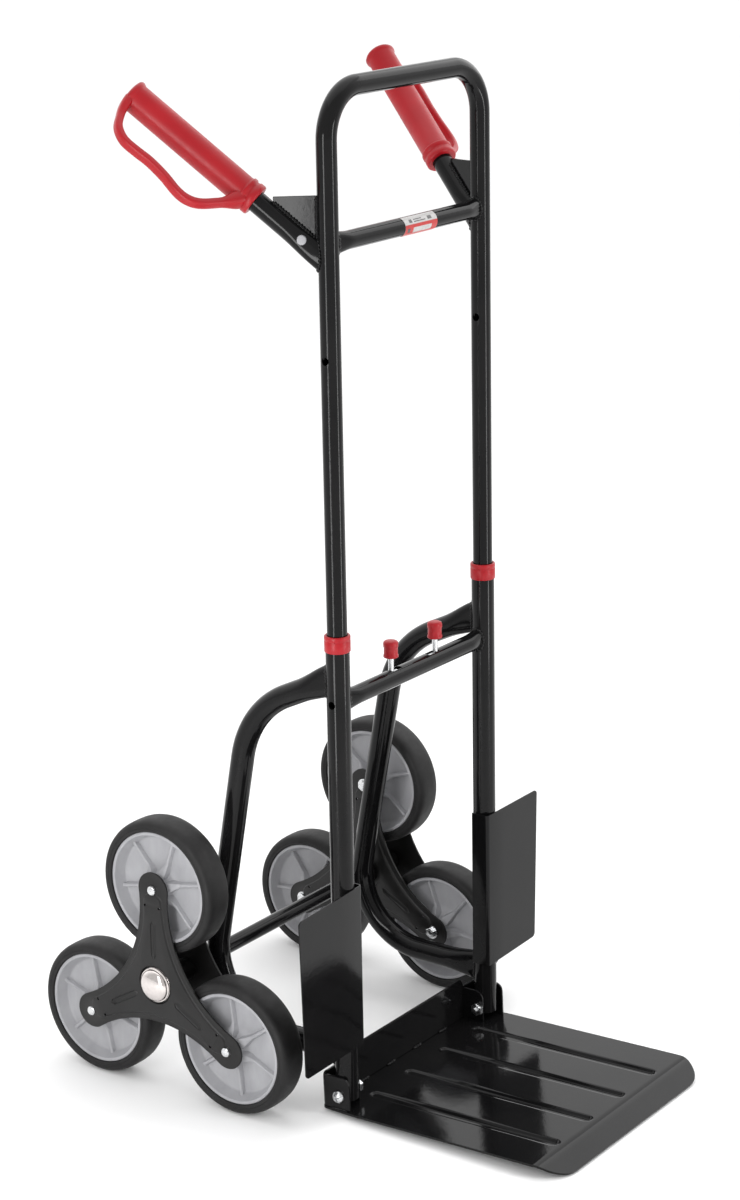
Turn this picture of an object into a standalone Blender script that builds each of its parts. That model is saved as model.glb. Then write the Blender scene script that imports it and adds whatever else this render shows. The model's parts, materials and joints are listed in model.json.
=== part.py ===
"""Stair-climbing folding hand truck.

Metres, +Z up. The load side (toe plate) faces -Y, the wheels stand behind the posts at +Y,
and the origin is on the floor, under the middle of the object's bounding box.
"""
from math import acos, atan2, cos, degrees, pi, radians, sin, sqrt, tan

import bmesh
import bpy
from mathutils import Matrix, Vector

# ---------------------------------------------------------------- driving dimensions
GAP = 0.0003                 # clearance kept between touching pieces
SHEET = 0.0025               # bent sheet steel
THIN_SHEET = 0.0015

# posts and the telescoping handle
TRACK = 0.1335               # post axis to the middle plane
POST_R = 0.0125
POST_WALL = 0.0015
POST_BOTTOM = 0.0145
INNER_R = 0.0105
INNER_WALL = 0.0012
INNER_BOTTOM = 0.430
HANDLE_TOP = 1.083
HANDLE_BEND = 0.050
TRAVEL = 0.358               # how far the handle slides down
COLLAR_R = 0.0136
COLLAR_HEIGHT = 0.0175
COLLAR_LID = 0.003
COLLAR_TOP = {-1: 0.5330, 1: 0.5455}

# cross bars and the lock
LOCK_Z = 0.460
LOCK_BAR_R = 0.0097
LOCK_BAR_WALL = 0.0015
LOCK_PIN_X = 0.0405
LOCK_PIN_R = 0.003
LOCK_STROKE = 0.012
LOCK_BOLT_R = 0.0036
LOCK_HOLE_R = 0.0042
KNOB_R = 0.0080
KNOB_BOTTOM = 0.484
KNOB_HEIGHT = 0.0185
CROSSBAR_Z = 0.933
CROSSBAR_R = 0.0095
LABEL_X = (-0.016, 0.040)
LABEL_ARC = 75.0             # degrees each side of straight ahead

# rear grips: distances along the stub count from the post axis
GRIP_SPLAY = radians(22.4)
GRIP_RISE = radians(39.6)
STUB_Z = 0.9143
STUB_R = 0.011
STUB_START = -0.002
GRIP_START = 0.094
GRIP_END = 0.257
GRIP_CLOSURE = 0.005         # thickness of the closed end
GRIP_R = 0.0152
GRIP_RING_R = 0.0168
GUARD_R = 0.0042
GUSSET_TOP = 0.981
GUSSET_REACH = 0.055

# rear loops
LOOP_TOP_Z = 0.484
LOOP_UPPER = (0.1180, 0.4310)
LOOP_LOWER = (0.1880, 0.0670)
LOOP_UPPER_BEND = 0.110
LOOP_LOWER_BEND = 0.080

# wheels and spiders
WHEEL_R = 0.075
SPIDER_R = 0.1087            # spider centre to wheel centre
AXLE_R = 0.0085
AXLE_WALL = 0.0015
AXLE_END = 0.2232
WHEEL_X = 0.194
TYRE_WIDTH = 0.035
RIM_R = 0.0625
OUTER_PLATE_X = (0.2145, 0.2170)
INNER_PLATE_X = (0.1660, 0.1685)
ARM_END_R = 0.0198
WAIST_R = 0.044
HUB_R = 0.0125
HUB_COLLAR_X = 0.157
HUB_COLLAR_R = 0.015
CAP_R = 0.0195
BOLT_R = 0.004
ARMS = {"top": 90.0, "front": 210.0, "rear": 330.0}

# wing plates
WING_X = (0.1187, 0.2260)
WING_Z = (0.076, 0.257)
WING_RETURN_Y = 0.007

# folding toe
HINGE_Z = 0.0209
TOE_TILT = radians(2.0)      # the plate stands this far above level
PLATE_DROP = 0.0148          # hinge axis to the plate's top face
TOE_HALF = 0.152
TOE_REAR = 0.0235
TOE_CREASE = -0.252
TOE_FRONT = -0.2775
TOE_CORNER = 0.036
WALL_Y = 0.0205
WALL_SIDE_TOP = 0.0225
WALL_MID_TOP = 0.0317
WALL_MID_HALF = 0.117
OUTER_EAR_X = 0.1463
INNER_EAR_X = 0.1207
EAR_FRONT = -0.0140
INNER_EAR_FRONT = -0.0060
INNER_EAR_TOP = 0.0215
EAR_CORNER = 0.009
HINGE_BOLT_R = 0.003
HINGE_HOLE_R = 0.0034

# facets round a full turn
SIDES = 16
WHEEL_SIDES = 20
COPE_SIDES = 24

AXLE_Z = WHEEL_R + SPIDER_R / 2
TO_YZ = Matrix(((0, 0, 1, 0), (1, 0, 0, 0), (0, 1, 0, 0), (0, 0, 0, 1)))   # outline (x, y) lies in (Y, Z)
TO_XZ = Matrix.Rotation(pi / 2, 4, "X")                                   # outline (x, y) lies in (X, Z)
SIDE_NAMES = {-1: "left", 1: "right"}

for old in list(bpy.data.objects):
    bpy.data.objects.remove(old, do_unlink=True)

MODEL = bpy.data.collections.new("stair_hand_truck")
CUTTERS = bpy.data.collections.new("cutters")
bpy.context.scene.collection.children.link(MODEL)
bpy.context.scene.collection.children.link(CUTTERS)


# ---------------------------------------------------------------- materials
def material(name, colour, roughness, metallic=0.0):
    """A Principled material, made once for each name."""
    found = bpy.data.materials.get(name)
    if found:
        return found
    made = bpy.data.materials.new(name)
    made.use_nodes = True
    shader = made.node_tree.nodes["Principled BSDF"]
    shader.inputs["Base Color"].default_value = (*colour, 1.0)
    shader.inputs["Roughness"].default_value = roughness
    shader.inputs["Metallic"].default_value = metallic
    made.diffuse_color = (*colour, 1.0)
    return made


BLACK_PAINT = ("black_paint", (0.012, 0.012, 0.013), 0.16)
SATIN_PAINT = ("satin_paint", (0.030, 0.030, 0.032), 0.42)
RED_PLASTIC = ("red_plastic", (0.62, 0.020, 0.025), 0.35)
GREY_PLASTIC = ("grey_plastic", (0.34, 0.34, 0.36), 0.45)
RUBBER = ("tyre_rubber", (0.028, 0.028, 0.029), 0.62)
ZINC = ("zinc_steel", (0.62, 0.64, 0.66), 0.28, 1.0)
CHROME = ("chrome_steel", (0.72, 0.69, 0.67), 0.12, 1.0)
LABEL_RED = ("label_red", (0.60, 0.03, 0.03), 0.30)


# ---------------------------------------------------------------- building blocks
def add_object(name, data, finish, group=MODEL):
    piece = bpy.data.objects.new(name, data)
    group.objects.link(piece)
    if finish:
        data.materials.append(material(*finish))
    return piece


def empty(name, place):
    """A pivot for moving pieces; what hangs on it is placed in its own frame."""
    pivot = bpy.data.objects.new(name, None)
    MODEL.objects.link(pivot)
    pivot.matrix_world = place
    return pivot


def as_cutter(piece):
    for group in list(piece.users_collection):
        group.objects.unlink(piece)
    CUTTERS.objects.link(piece)
    piece.hide_render = True
    piece.display_type = "WIRE"
    return piece


def smooth(piece, angle=35.0):
    piece.data.shade_smooth()
    piece.data.set_sharp_from_angle(angle=radians(angle))


def turned(name, profile, finish, sides=SIDES, ring=True):
    """Turn (radius, height) points about Z. They run down the outer side; a ring closes on itself."""
    mesh = bpy.data.meshes.new(name)
    shape = bmesh.new()
    points = [shape.verts.new((radius, 0.0, height)) for radius, height in profile]
    for first, second in zip(points, points[1:]):
        shape.edges.new((first, second))
    if ring:
        shape.edges.new((points[-1], points[0]))
    shape.to_mesh(mesh)
    shape.free()
    piece = add_object(name, mesh, finish)
    screw = piece.modifiers.new("turn", "SCREW")
    screw.axis = "Z"
    screw.steps = sides
    screw.render_steps = sides
    screw.use_merge_vertices = True
    screw.merge_threshold = 0.00001
    screw.use_smooth_shade = True
    return piece


def cylinder(name, radius, low, high, matrix, sides=16):
    """A plain cylinder cutter between two heights on its own axis."""
    mesh = bpy.data.meshes.new(name)
    shape = bmesh.new()
    bmesh.ops.create_cone(shape, cap_ends=True, segments=sides, radius1=radius, radius2=radius,
                          depth=high - low)
    bmesh.ops.translate(shape, verts=shape.verts, vec=(0, 0, (low + high) / 2))
    shape.to_mesh(mesh)
    shape.free()
    piece = add_object(name, mesh, None)
    piece.matrix_world = matrix
    return piece


def box(name, low, high, finish=None):
    mesh = bpy.data.meshes.new(name)
    shape = bmesh.new()
    bmesh.ops.create_cube(shape, size=1.0)
    bmesh.ops.scale(shape, verts=shape.verts, vec=[b - a for a, b in zip(low, high)])
    bmesh.ops.translate(shape, verts=shape.verts, vec=[(a + b) / 2 for a, b in zip(low, high)])
    shape.to_mesh(mesh)
    shape.free()
    return add_object(name, mesh, finish)


def curve_data(name, outlines, dimensions, cyclic):
    curve = bpy.data.curves.new(name, "CURVE")
    curve.dimensions = dimensions
    for outline in outlines:
        spline = curve.splines.new("POLY")
        spline.points.add(len(outline) - 1)
        for point, place in zip(spline.points, outline):
            full = tuple(place) + (0.0,) * (3 - len(place))
            point.co = (*full, 1.0)
        spline.use_cyclic_u = cyclic
    return curve


def plate(name, outlines, thickness, matrix, finish):
    """A flat sheet cut to closed outlines, the later ones holes, centred on the matrix's plane."""
    curve = curve_data(name, outlines, "2D", True)
    curve.fill_mode = "BOTH"
    curve.extrude = thickness / 2
    piece = add_object(name, curve, finish)
    piece.matrix_world = matrix
    return piece


def rod(name, path, radius, finish, capped=True, facets=4):
    """A round bar or tube skin along a path."""
    curve = curve_data(name, [path], "3D", False)
    curve.bevel_depth = radius
    curve.bevel_resolution = facets
    curve.use_fill_caps = capped
    return add_object(name, curve, finish)


def as_mesh(piece):
    """Replace a curve by its own welded mesh, in the same place."""
    bpy.context.view_layer.update()
    graph = bpy.context.evaluated_depsgraph_get()
    mesh = bpy.data.meshes.new_from_object(piece.evaluated_get(graph))
    shape = bmesh.new()
    shape.from_mesh(mesh)
    bmesh.ops.remove_doubles(shape, verts=shape.verts, dist=0.00001)
    shape.to_mesh(mesh)
    shape.free()
    name = piece.name
    place = piece.matrix_world.copy()
    bpy.data.objects.remove(piece, do_unlink=True)
    made = bpy.data.objects.new(name, mesh)
    MODEL.objects.link(made)
    made.matrix_world = place
    return made


def pipe(name, path, radius, wall, finish):
    """A hollow tube along a path, open at both ends."""
    piece = as_mesh(rod(name, path, radius, finish, capped=False))
    skin = piece.modifiers.new("wall", "SOLIDIFY")
    skin.thickness = wall
    skin.offset = -1.0
    skin.use_even_offset = True
    smooth(piece)
    return piece


def combine(piece, other, operation="DIFFERENCE"):
    """Cut a piece with another one, or join the two; the other one is kept as a guide."""
    step = piece.modifiers.new(operation.lower(), "BOOLEAN")
    step.operation = operation
    step.solver = "EXACT"
    step.object = as_cutter(other)
    return piece


def rounded_path(corners, bends, steps=6):
    """A path through corner points whose inner corners are arcs of the given bend radii."""
    places = [Vector(corner) for corner in corners]
    path = [places[0]]
    for before, corner, after, bend in zip(places, places[1:], places[2:], bends):
        into = (corner - before).normalized()
        out = (after - corner).normalized()
        turn = acos(max(-1.0, min(1.0, into.dot(out))))
        reach = bend * tan(turn / 2)
        start = corner - into * reach
        side = (out - into * into.dot(out)).normalized()
        for step in range(steps + 1):
            angle = turn * step / steps
            path.append(start + into * bend * sin(angle) + side * bend * (1 - cos(angle)))
    path.append(places[-1])
    return path


def arc(centre, radius, first, last, steps):
    """Points on an arc between two angles in degrees."""
    turns = [radians(first + (last - first) * step / steps) for step in range(steps + 1)]
    return [(centre[0] + radius * cos(turn), centre[1] + radius * sin(turn)) for turn in turns]


def circle(centre, radius, sides=16):
    return arc(centre, radius, 0.0, 360.0, sides)[:-1]


def along_x(side, x=0.0, y=0.0, z=0.0):
    """Places a turned piece with its own +Z pointing outward along X on one side."""
    return Matrix.Translation((side * x, y, z)) @ Matrix.Rotation(side * pi / 2, 4, "Y")


def at_x(low, high):
    """The plane of a sheet in (Y, Z) that fills the given stretch of X."""
    return Matrix.Translation(((low + high) / 2, 0, 0)) @ TO_YZ


# ---------------------------------------------------------------- posts, bars and loops
def post(side):
    top = COLLAR_TOP[side] - COLLAR_LID - GAP
    inner = POST_R - POST_WALL
    piece = turned(f"post_{SIDE_NAMES[side]}",
                   [(POST_R, top), (POST_R, POST_BOTTOM), (inner, POST_BOTTOM), (inner, top)], BLACK_PAINT)
    piece.location = (side * TRACK, 0, 0)
    inward = along_x(-side, x=-TRACK, z=LOCK_Z)
    combine(piece, cylinder(f"cut_lock_{side}", LOCK_HOLE_R, 0.0, 2 * POST_R, inward))
    across = along_x(side, x=TRACK, z=HINGE_Z)
    combine(piece, cylinder(f"cut_hinge_{side}", HINGE_HOLE_R, -2 * POST_R, 2 * POST_R, across))


def collar(side):
    top = COLLAR_TOP[side]
    sleeve = POST_R + GAP
    mouth = INNER_R + GAP
    ledge = top - COLLAR_LID
    piece = turned(f"collar_{SIDE_NAMES[side]}",
                   [(COLLAR_R - 0.0006, top), (COLLAR_R, top - 0.0008), (COLLAR_R, top - COLLAR_HEIGHT),
                    (sleeve, top - COLLAR_HEIGHT), (sleeve, ledge), (mouth, ledge), (mouth, top)],
                   RED_PLASTIC)
    piece.location = (side * TRACK, 0, 0)


def cross_tube(name, radius, wall, half, height, finish):
    inner = radius - wall
    piece = turned(name, [(radius, half), (radius, -half), (inner, -half), (inner, half)], finish)
    piece.matrix_world = along_x(1, z=height)
    return piece


def lock_bar():
    piece = cross_tube("lock_bar", LOCK_BAR_R, LOCK_BAR_WALL, TRACK - POST_R - GAP, LOCK_Z, BLACK_PAINT)
    slack = LOCK_PIN_R + 0.0006
    for side in (-1, 1):
        ends = sorted((side * (LOCK_PIN_X + slack), side * (LOCK_PIN_X - LOCK_STROKE - slack)))
        slot = box(f"cut_slot_{side}", (ends[0], -slack, LOCK_Z + 0.003), (ends[1], slack, LOCK_Z + 0.015))
        combine(piece, slot)


def loop_path(side):
    x = side * TRACK
    start = (x, POST_R - 0.004, LOOP_TOP_Z)
    end = (x, POST_R - 0.004, LOOP_LOWER[1])
    corners = [start, (x, *LOOP_UPPER), (x, *LOOP_LOWER), end]
    return rounded_path(corners, [LOOP_UPPER_BEND, LOOP_LOWER_BEND])


def axle_y():
    """The axle lies against the back of the loops, at the height of the spider's centre."""
    down = (Vector(LOOP_LOWER) - Vector(LOOP_UPPER)).normalized()
    turn = acos(down.dot(Vector((-1.0, 0.0))))
    centre_y = LOOP_LOWER[0] - LOOP_LOWER_BEND * tan(turn / 2)
    centre_z = LOOP_LOWER[1] + LOOP_LOWER_BEND
    leg = centre_y + sqrt(LOOP_LOWER_BEND ** 2 - (centre_z - AXLE_Z) ** 2)
    return leg + POST_R + AXLE_R + GAP


def rear_loop(side):
    piece = pipe(f"rear_loop_{SIDE_NAMES[side]}", loop_path(side), POST_R, POST_WALL, BLACK_PAINT)
    upright = Matrix.Translation((side * TRACK, 0, 0))
    sleeve = cylinder(f"cut_cope_{side}", POST_R + GAP, 0.0, 1.0, upright, COPE_SIDES)
    combine(piece, sleeve)


def wing_plate(side):
    front = -POST_R - GAP - THIN_SHEET
    inner, outer = WING_X
    bend = 0.0035
    profile = [(outer, front), (outer, front + THIN_SHEET)]
    profile += arc((inner + bend, front + bend), bend - THIN_SHEET, 270.0, 180.0, 4)
    profile += [(inner + THIN_SHEET, WING_RETURN_Y), (inner, WING_RETURN_Y)]
    profile += arc((inner + bend, front + bend), bend, 180.0, 270.0, 4)
    place = Matrix.Translation((0, 0, sum(WING_Z) / 2)) @ Matrix.Scale(side, 4, (1, 0, 0))
    outline = [tuple((place @ Vector((x, y, 0))).xy) for x, y in profile]
    middle = Matrix.Translation((0, 0, sum(WING_Z) / 2))
    plate(f"wing_plate_{SIDE_NAMES[side]}", [outline], WING_Z[1] - WING_Z[0], middle, BLACK_PAINT)


# ---------------------------------------------------------------- handle
def grip_frame(side):
    """Stub axis as +Z and the guard's direction as +X, where the stub's axis meets the post's."""
    level = cos(GRIP_RISE)
    ahead = Vector((side * sin(GRIP_SPLAY) * level, cos(GRIP_SPLAY) * level, sin(GRIP_RISE)))
    guard = Vector((side * 0.93, 0.0, -0.37))
    guard = (guard - ahead * ahead.dot(guard)).normalized()
    across = ahead.cross(guard)
    turn = Matrix((guard, across, ahead)).transposed().to_4x4()
    return Matrix.Translation((side * TRACK, 0, STUB_Z)) @ turn


def handle_tube():
    lows = [(-TRACK, 0, INNER_BOTTOM), (-TRACK, 0, HANDLE_TOP)]
    highs = [(TRACK, 0, HANDLE_TOP), (TRACK, 0, INNER_BOTTOM)]
    path = rounded_path(lows + highs, [HANDLE_BEND] * 2)
    piece = pipe("handle_tube", path, INNER_R, INNER_WALL, BLACK_PAINT)
    for side in (-1, 1):
        for height in (LOCK_Z, LOCK_Z + TRAVEL):
            inward = along_x(-side, x=-TRACK, z=height)
            combine(piece, cylinder(f"cut_hole_{side}_{height}", LOCK_HOLE_R, 0.0, 2 * INNER_R, inward))


def label():
    skin = 0.0004
    near = CROSSBAR_R + GAP
    first, last = 180.0 - LABEL_ARC, 180.0 + LABEL_ARC
    outline = arc((0, CROSSBAR_Z), near + skin, first, last, 12) + arc((0, CROSSBAR_Z), near, last, first, 12)
    plate("label", [outline], LABEL_X[1] - LABEL_X[0], at_x(*LABEL_X), LABEL_RED)


def handle_stub(side):
    place = grip_frame(side)
    path = [place @ Vector((0, 0, STUB_START)), place @ Vector((0, 0, GRIP_END - GRIP_CLOSURE - GAP))]
    piece = pipe(f"handle_stub_{SIDE_NAMES[side]}", path, STUB_R, POST_WALL, BLACK_PAINT)
    upright = Matrix.Translation((side * TRACK, 0, 0))
    sleeve = cylinder(f"cut_stub_{side}", INNER_R + GAP, 0.8, 1.1, upright, COPE_SIDES)
    front = box(f"cut_front_{side}", (side * TRACK - 0.03, -0.03, 0.85), (side * TRACK + 0.03, 0.004, 0.98))
    combine(piece, sleeve)
    combine(piece, front)


def gusset(side):
    """Upright triangle between the post and the stub, drawn as (reach from the post axis, height)."""
    near = INNER_R + GAP
    rise = tan(GRIP_RISE)
    stub_top = STUB_Z + (STUB_R + GAP) / cos(GRIP_RISE)
    outline = [(near, GUSSET_TOP), (near, stub_top + near * rise),
               (GUSSET_REACH, stub_top + GUSSET_REACH * rise), (GUSSET_REACH, GUSSET_TOP - 0.002)]
    turn = Matrix.Rotation(pi / 2 - side * GRIP_SPLAY, 4, "Z")
    place = Matrix.Translation((side * TRACK, 0, 0)) @ turn @ TO_XZ
    plate(f"gusset_{SIDE_NAMES[side]}", [outline], SHEET, place, BLACK_PAINT)


def grip(side):
    """A closed sleeve with raised rings and a guard strap that bows out beside the fingers."""
    bore = STUB_R + GAP
    deep = GRIP_END - GRIP_CLOSURE
    body = [(0.0, GRIP_END), (GRIP_RING_R - 0.0015, GRIP_END), (GRIP_RING_R, GRIP_END - 0.002),
            (GRIP_R, GRIP_END - 0.007), (GRIP_R, GRIP_START + 0.012), (GRIP_RING_R, GRIP_START + 0.010),
            (GRIP_RING_R, GRIP_START), (bore, GRIP_START), (bore, deep), (0.0, deep)]
    name = f"grip_{SIDE_NAMES[side]}"
    piece = turned(name, body, RED_PLASTIC, ring=False)
    piece.matrix_world = grip_frame(side)
    bow = [(0.0135, 0.252), (0.031, 0.246), (0.044, 0.239), (0.052, 0.226), (0.0525, 0.210), (0.0515, 0.194),
           (0.0535, 0.174), (0.058, 0.154), (0.057, 0.141), (0.050, 0.130), (0.0335, 0.1180), (0.0135, 0.107)]
    path = [piece.matrix_world @ Vector((reach, 0, height)) for reach, height in bow]
    strap = as_mesh(rod(f"guard_{SIDE_NAMES[side]}", path, GUARD_R, RED_PLASTIC, facets=2))
    combine(piece, strap, "UNION")


# ---------------------------------------------------------------- lock
def lock_rod(side):
    """Sliding slug in the bar with its locking pin and the upright stem under the knob."""
    slug = LOCK_BAR_R - LOCK_BAR_WALL - GAP
    tip = TRACK - POST_R + POST_WALL + 0.0001
    start, end = 0.030, 0.052
    piece = turned(f"lock_rod_{SIDE_NAMES[side]}",
                   [(0.0, tip), (LOCK_BOLT_R - 0.0006, tip), (LOCK_BOLT_R, tip - 0.001), (LOCK_BOLT_R, end),
                    (slug, end), (slug, start), (0.0, start)], ZINC, ring=False)
    piece.matrix_world = along_x(side, z=LOCK_Z)
    upright = Matrix.Translation((side * LOCK_PIN_X, 0, 0))
    stem = cylinder(f"stem_{side}", LOCK_PIN_R, LOCK_Z, KNOB_BOTTOM + 0.011, upright)
    combine(piece, stem, "UNION")


def lock_knob(side):
    top = KNOB_BOTTOM + KNOB_HEIGHT
    bore = LOCK_PIN_R + GAP
    deep = KNOB_BOTTOM + 0.0115
    piece = turned(f"lock_knob_{SIDE_NAMES[side]}",
                   [(0.0, top), (KNOB_R - 0.0015, top), (KNOB_R, top - 0.0015), (KNOB_R, KNOB_BOTTOM),
                    (bore, KNOB_BOTTOM), (bore, deep), (0.0, deep)], RED_PLASTIC, ring=False)
    piece.location = (side * LOCK_PIN_X, 0, 0)


# ---------------------------------------------------------------- folding toe, built level about its hinge
def toe_pivot():
    return empty("toe_pivot", Matrix.Translation((0, 0, HINGE_Z)) @ Matrix.Rotation(-TOE_TILT, 4, "X"))


def toe_plate(pivot):
    """Side section of the plate and its down-turned lip, trimmed to rounded front corners."""
    top = -PLATE_DROP
    under = top - SHEET
    lip = (-HINGE_Z + TOE_FRONT * sin(TOE_TILT)) / cos(TOE_TILT)
    section = [(TOE_REAR, top), (TOE_CREASE, top), (TOE_FRONT, lip + SHEET), (TOE_FRONT, lip),
               (TOE_CREASE, under), (TOE_REAR, under)]
    piece = as_mesh(plate("toe_plate", [section], 2 * TOE_HALF, TO_YZ, BLACK_PAINT))
    corner = TOE_CORNER
    plan = [(TOE_HALF, TOE_REAR + 0.01), (-TOE_HALF, TOE_REAR + 0.01)]
    plan += arc((-TOE_HALF + corner, TOE_FRONT + corner), corner, 180.0, 270.0, 8)
    plan += arc((TOE_HALF - corner, TOE_FRONT + corner), corner, 270.0, 360.0, 8)
    trim = as_mesh(plate("trim_toe", [plan], 0.2, Matrix.Identity(4), BLACK_PAINT))
    trim.parent = pivot
    combine(piece, trim, "INTERSECT")
    piece.parent = pivot


def ear_outline(front, rear, top):
    """Upright tab with its upper front corner rounded, in (Y, Z) about the hinge."""
    low = -PLATE_DROP + GAP
    corner = arc((front + EAR_CORNER, top - EAR_CORNER), EAR_CORNER, 90.0, 180.0, 4)
    return [(rear, low), (rear, top)] + corner + [(front, low)]


def toe_channel(pivot):
    """Rear wall with one ear folded forward outside each post."""
    low = -PLATE_DROP + GAP
    half = OUTER_EAR_X + SHEET
    wall = [(half, low), (half, WALL_SIDE_TOP), (WALL_MID_HALF, WALL_SIDE_TOP), (WALL_MID_HALF, WALL_MID_TOP)]
    wall += [(-x, height) for x, height in wall[::-1]]
    plane = Matrix.Translation((0, WALL_Y + SHEET / 2, 0)) @ TO_XZ
    piece = as_mesh(plate("toe_channel", [wall], SHEET, plane, BLACK_PAINT))
    outline = ear_outline(EAR_FRONT, WALL_Y + SHEET / 2, WALL_SIDE_TOP)
    for side in (-1, 1):
        spot = sorted((side * OUTER_EAR_X, side * (OUTER_EAR_X + SHEET)))
        shape = plate(f"ear_{side}", [outline, circle((0, 0), HINGE_HOLE_R)], SHEET, at_x(*spot), BLACK_PAINT)
        ear = as_mesh(shape)
        ear.parent = pivot
        combine(piece, ear, "UNION")
    piece.parent = pivot


def toe_ear(side, pivot):
    outline = ear_outline(INNER_EAR_FRONT, WALL_Y - GAP, INNER_EAR_TOP)
    spot = sorted((side * INNER_EAR_X, side * (INNER_EAR_X - SHEET)))
    piece = plate(f"toe_ear_{SIDE_NAMES[side]}", [outline, circle((0, 0), HINGE_HOLE_R)], SHEET,
                  at_x(*spot), BLACK_PAINT)
    piece.parent = pivot


def hinge_bolt(side):
    seat = OUTER_EAR_X + SHEET + GAP
    piece = turned(f"hinge_bolt_{SIDE_NAMES[side]}",
                   [(0.0, seat + 0.0052), (0.0055, seat + 0.0050), (0.0070, seat + 0.0035), (0.0070, seat),
                    (HINGE_BOLT_R, seat), (HINGE_BOLT_R, 0.1090), (0.0, 0.1090)], ZINC, sides=16, ring=False)
    piece.matrix_world = along_x(side, z=HINGE_Z)


def hinge_nut(side):
    seat = INNER_EAR_X - SHEET - GAP
    flat = 0.0065 / cos(pi / 6)
    bore = 0.0039
    piece = turned(f"hinge_nut_{SIDE_NAMES[side]}",
                   [(flat, seat), (flat, seat - 0.005), (bore, seat - 0.005), (bore, seat)], ZINC, sides=6)
    piece.matrix_world = along_x(side, z=HINGE_Z)


# ---------------------------------------------------------------- axle, spiders and wheels
def axle():
    cross_tube("axle", AXLE_R, AXLE_WALL, AXLE_END, AXLE_Z, BLACK_PAINT).location.y = axle_y()


def axle_cap(side):
    """Domed push-on cap over the end of the axle."""
    seat = OUTER_PLATE_X[1] + GAP
    bore = AXLE_R + GAP
    deep = AXLE_END + GAP
    piece = turned(f"axle_cap_{SIDE_NAMES[side]}",
                   [(0.0, seat + 0.0110), (0.0060, seat + 0.0106), (0.0120, seat + 0.0090),
                    (0.0165, seat + 0.0062), (0.0182, seat + 0.0035), (CAP_R, seat + 0.0025), (CAP_R, seat),
                    (bore, seat), (bore, deep), (0.0, deep)], CHROME, ring=False)
    piece.matrix_world = along_x(side, y=axle_y(), z=AXLE_Z)


def spider_pivot(side):
    return empty(f"spider_pivot_{SIDE_NAMES[side]}", Matrix.Translation((0, axle_y(), AXLE_Z)))


def arm_end(angle):
    """Middle of an arm's round end, counted from the axle."""
    turn = radians(angle)
    return (SPIDER_R * cos(turn), SPIDER_R * sin(turn))


def star_outline():
    """Three round arm ends joined by concave arcs that come within the waist radius of the centre."""
    tip = ARM_END_R
    top = SPIDER_R ** 2 - WAIST_R * SPIDER_R + WAIST_R ** 2 - tip ** 2
    hollow = top / (SPIDER_R + 2 * tip - 2 * WAIST_R)
    outline = []
    for angle in sorted(ARMS.values()):
        arm = Vector(arm_end(angle))
        opening = radians(angle + 60.0)
        pit = Vector((cos(opening), sin(opening))) * (WAIST_R + hollow)
        reach = pit - arm
        meet = degrees(atan2(reach.y, reach.x)) % 360.0
        spread = (meet - angle) % 360.0
        sweep = 2.0 * (60.0 - spread)
        outline += arc(arm, tip, angle - spread, angle + spread, 6)
        outline += arc(pit, hollow, meet + 180.0, meet + 180.0 + sweep, 6)[1:-1]
    return outline


def spider_plate(name, spot, bore, pivot):
    holes = [circle((0, 0), bore)]
    holes += [circle(arm_end(angle), BOLT_R + GAP, 8) for angle in ARMS.values()]
    piece = plate(name, [star_outline()] + holes, abs(spot[1] - spot[0]), at_x(*spot), SATIN_PAINT)
    piece.parent = pivot


def spider(side, pivot):
    word = SIDE_NAMES[side]
    outer = [side * x for x in OUTER_PLATE_X]
    inner = [side * x for x in INNER_PLATE_X]
    spider_plate(f"spider_outer_{word}", outer, AXLE_R + GAP, pivot)
    spider_plate(f"spider_inner_{word}", inner, HUB_R + GAP, pivot)
    bore = AXLE_R + GAP
    seat = INNER_PLATE_X[0] - GAP
    far = OUTER_PLATE_X[0] - GAP
    profile = [(HUB_R, far), (HUB_R, seat), (HUB_COLLAR_R, seat), (HUB_COLLAR_R, HUB_COLLAR_X),
               (bore, HUB_COLLAR_X), (bore, far)]
    hub = turned(f"spider_hub_{word}", profile, SATIN_PAINT)
    hub.matrix_world = along_x(side)
    hub.parent = pivot


def wheel_bolt(side, arm, pivot):
    """Bolt and nut that clamp one arm end, drawn in one piece."""
    y, z = arm_end(ARMS[arm])
    head = OUTER_PLATE_X[1] + GAP
    nut = INNER_PLATE_X[0] - GAP
    piece = turned(f"wheel_bolt_{SIDE_NAMES[side]}_{arm}",
                   [(0.0, head + 0.0040), (0.0040, head + 0.0036), (0.0054, head + 0.0022), (0.0054, head),
                    (BOLT_R, head), (BOLT_R, nut), (0.0066, nut), (0.0066, nut - 0.005), (0.0, nut - 0.005)],
                   ZINC, sides=8, ring=False)
    piece.matrix_world = along_x(side, y=y, z=z)
    piece.parent = pivot


def rim(side, arm, pivot):
    """Moulded wheel centre: hub, thin web and barrel."""
    y, z = arm_end(ARMS[arm])
    bore = BOLT_R + GAP
    near = INNER_PLATE_X[1] + GAP - WHEEL_X
    far = OUTER_PLATE_X[0] - GAP - WHEEL_X
    edge = TYRE_WIDTH / 2 - 0.0015
    web = 0.003
    profile = [(0.012, far), (0.013, web), (0.056, web), (0.057, edge), (RIM_R, edge), (RIM_R, -edge),
               (0.057, -edge), (0.056, -web), (0.013, -web), (0.012, near), (bore, near), (bore, far)]
    piece = turned(f"rim_{SIDE_NAMES[side]}_{arm}", profile, GREY_PLASTIC, WHEEL_SIDES)
    piece.matrix_world = along_x(side, x=WHEEL_X, y=y, z=z)
    piece.parent = pivot


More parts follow.
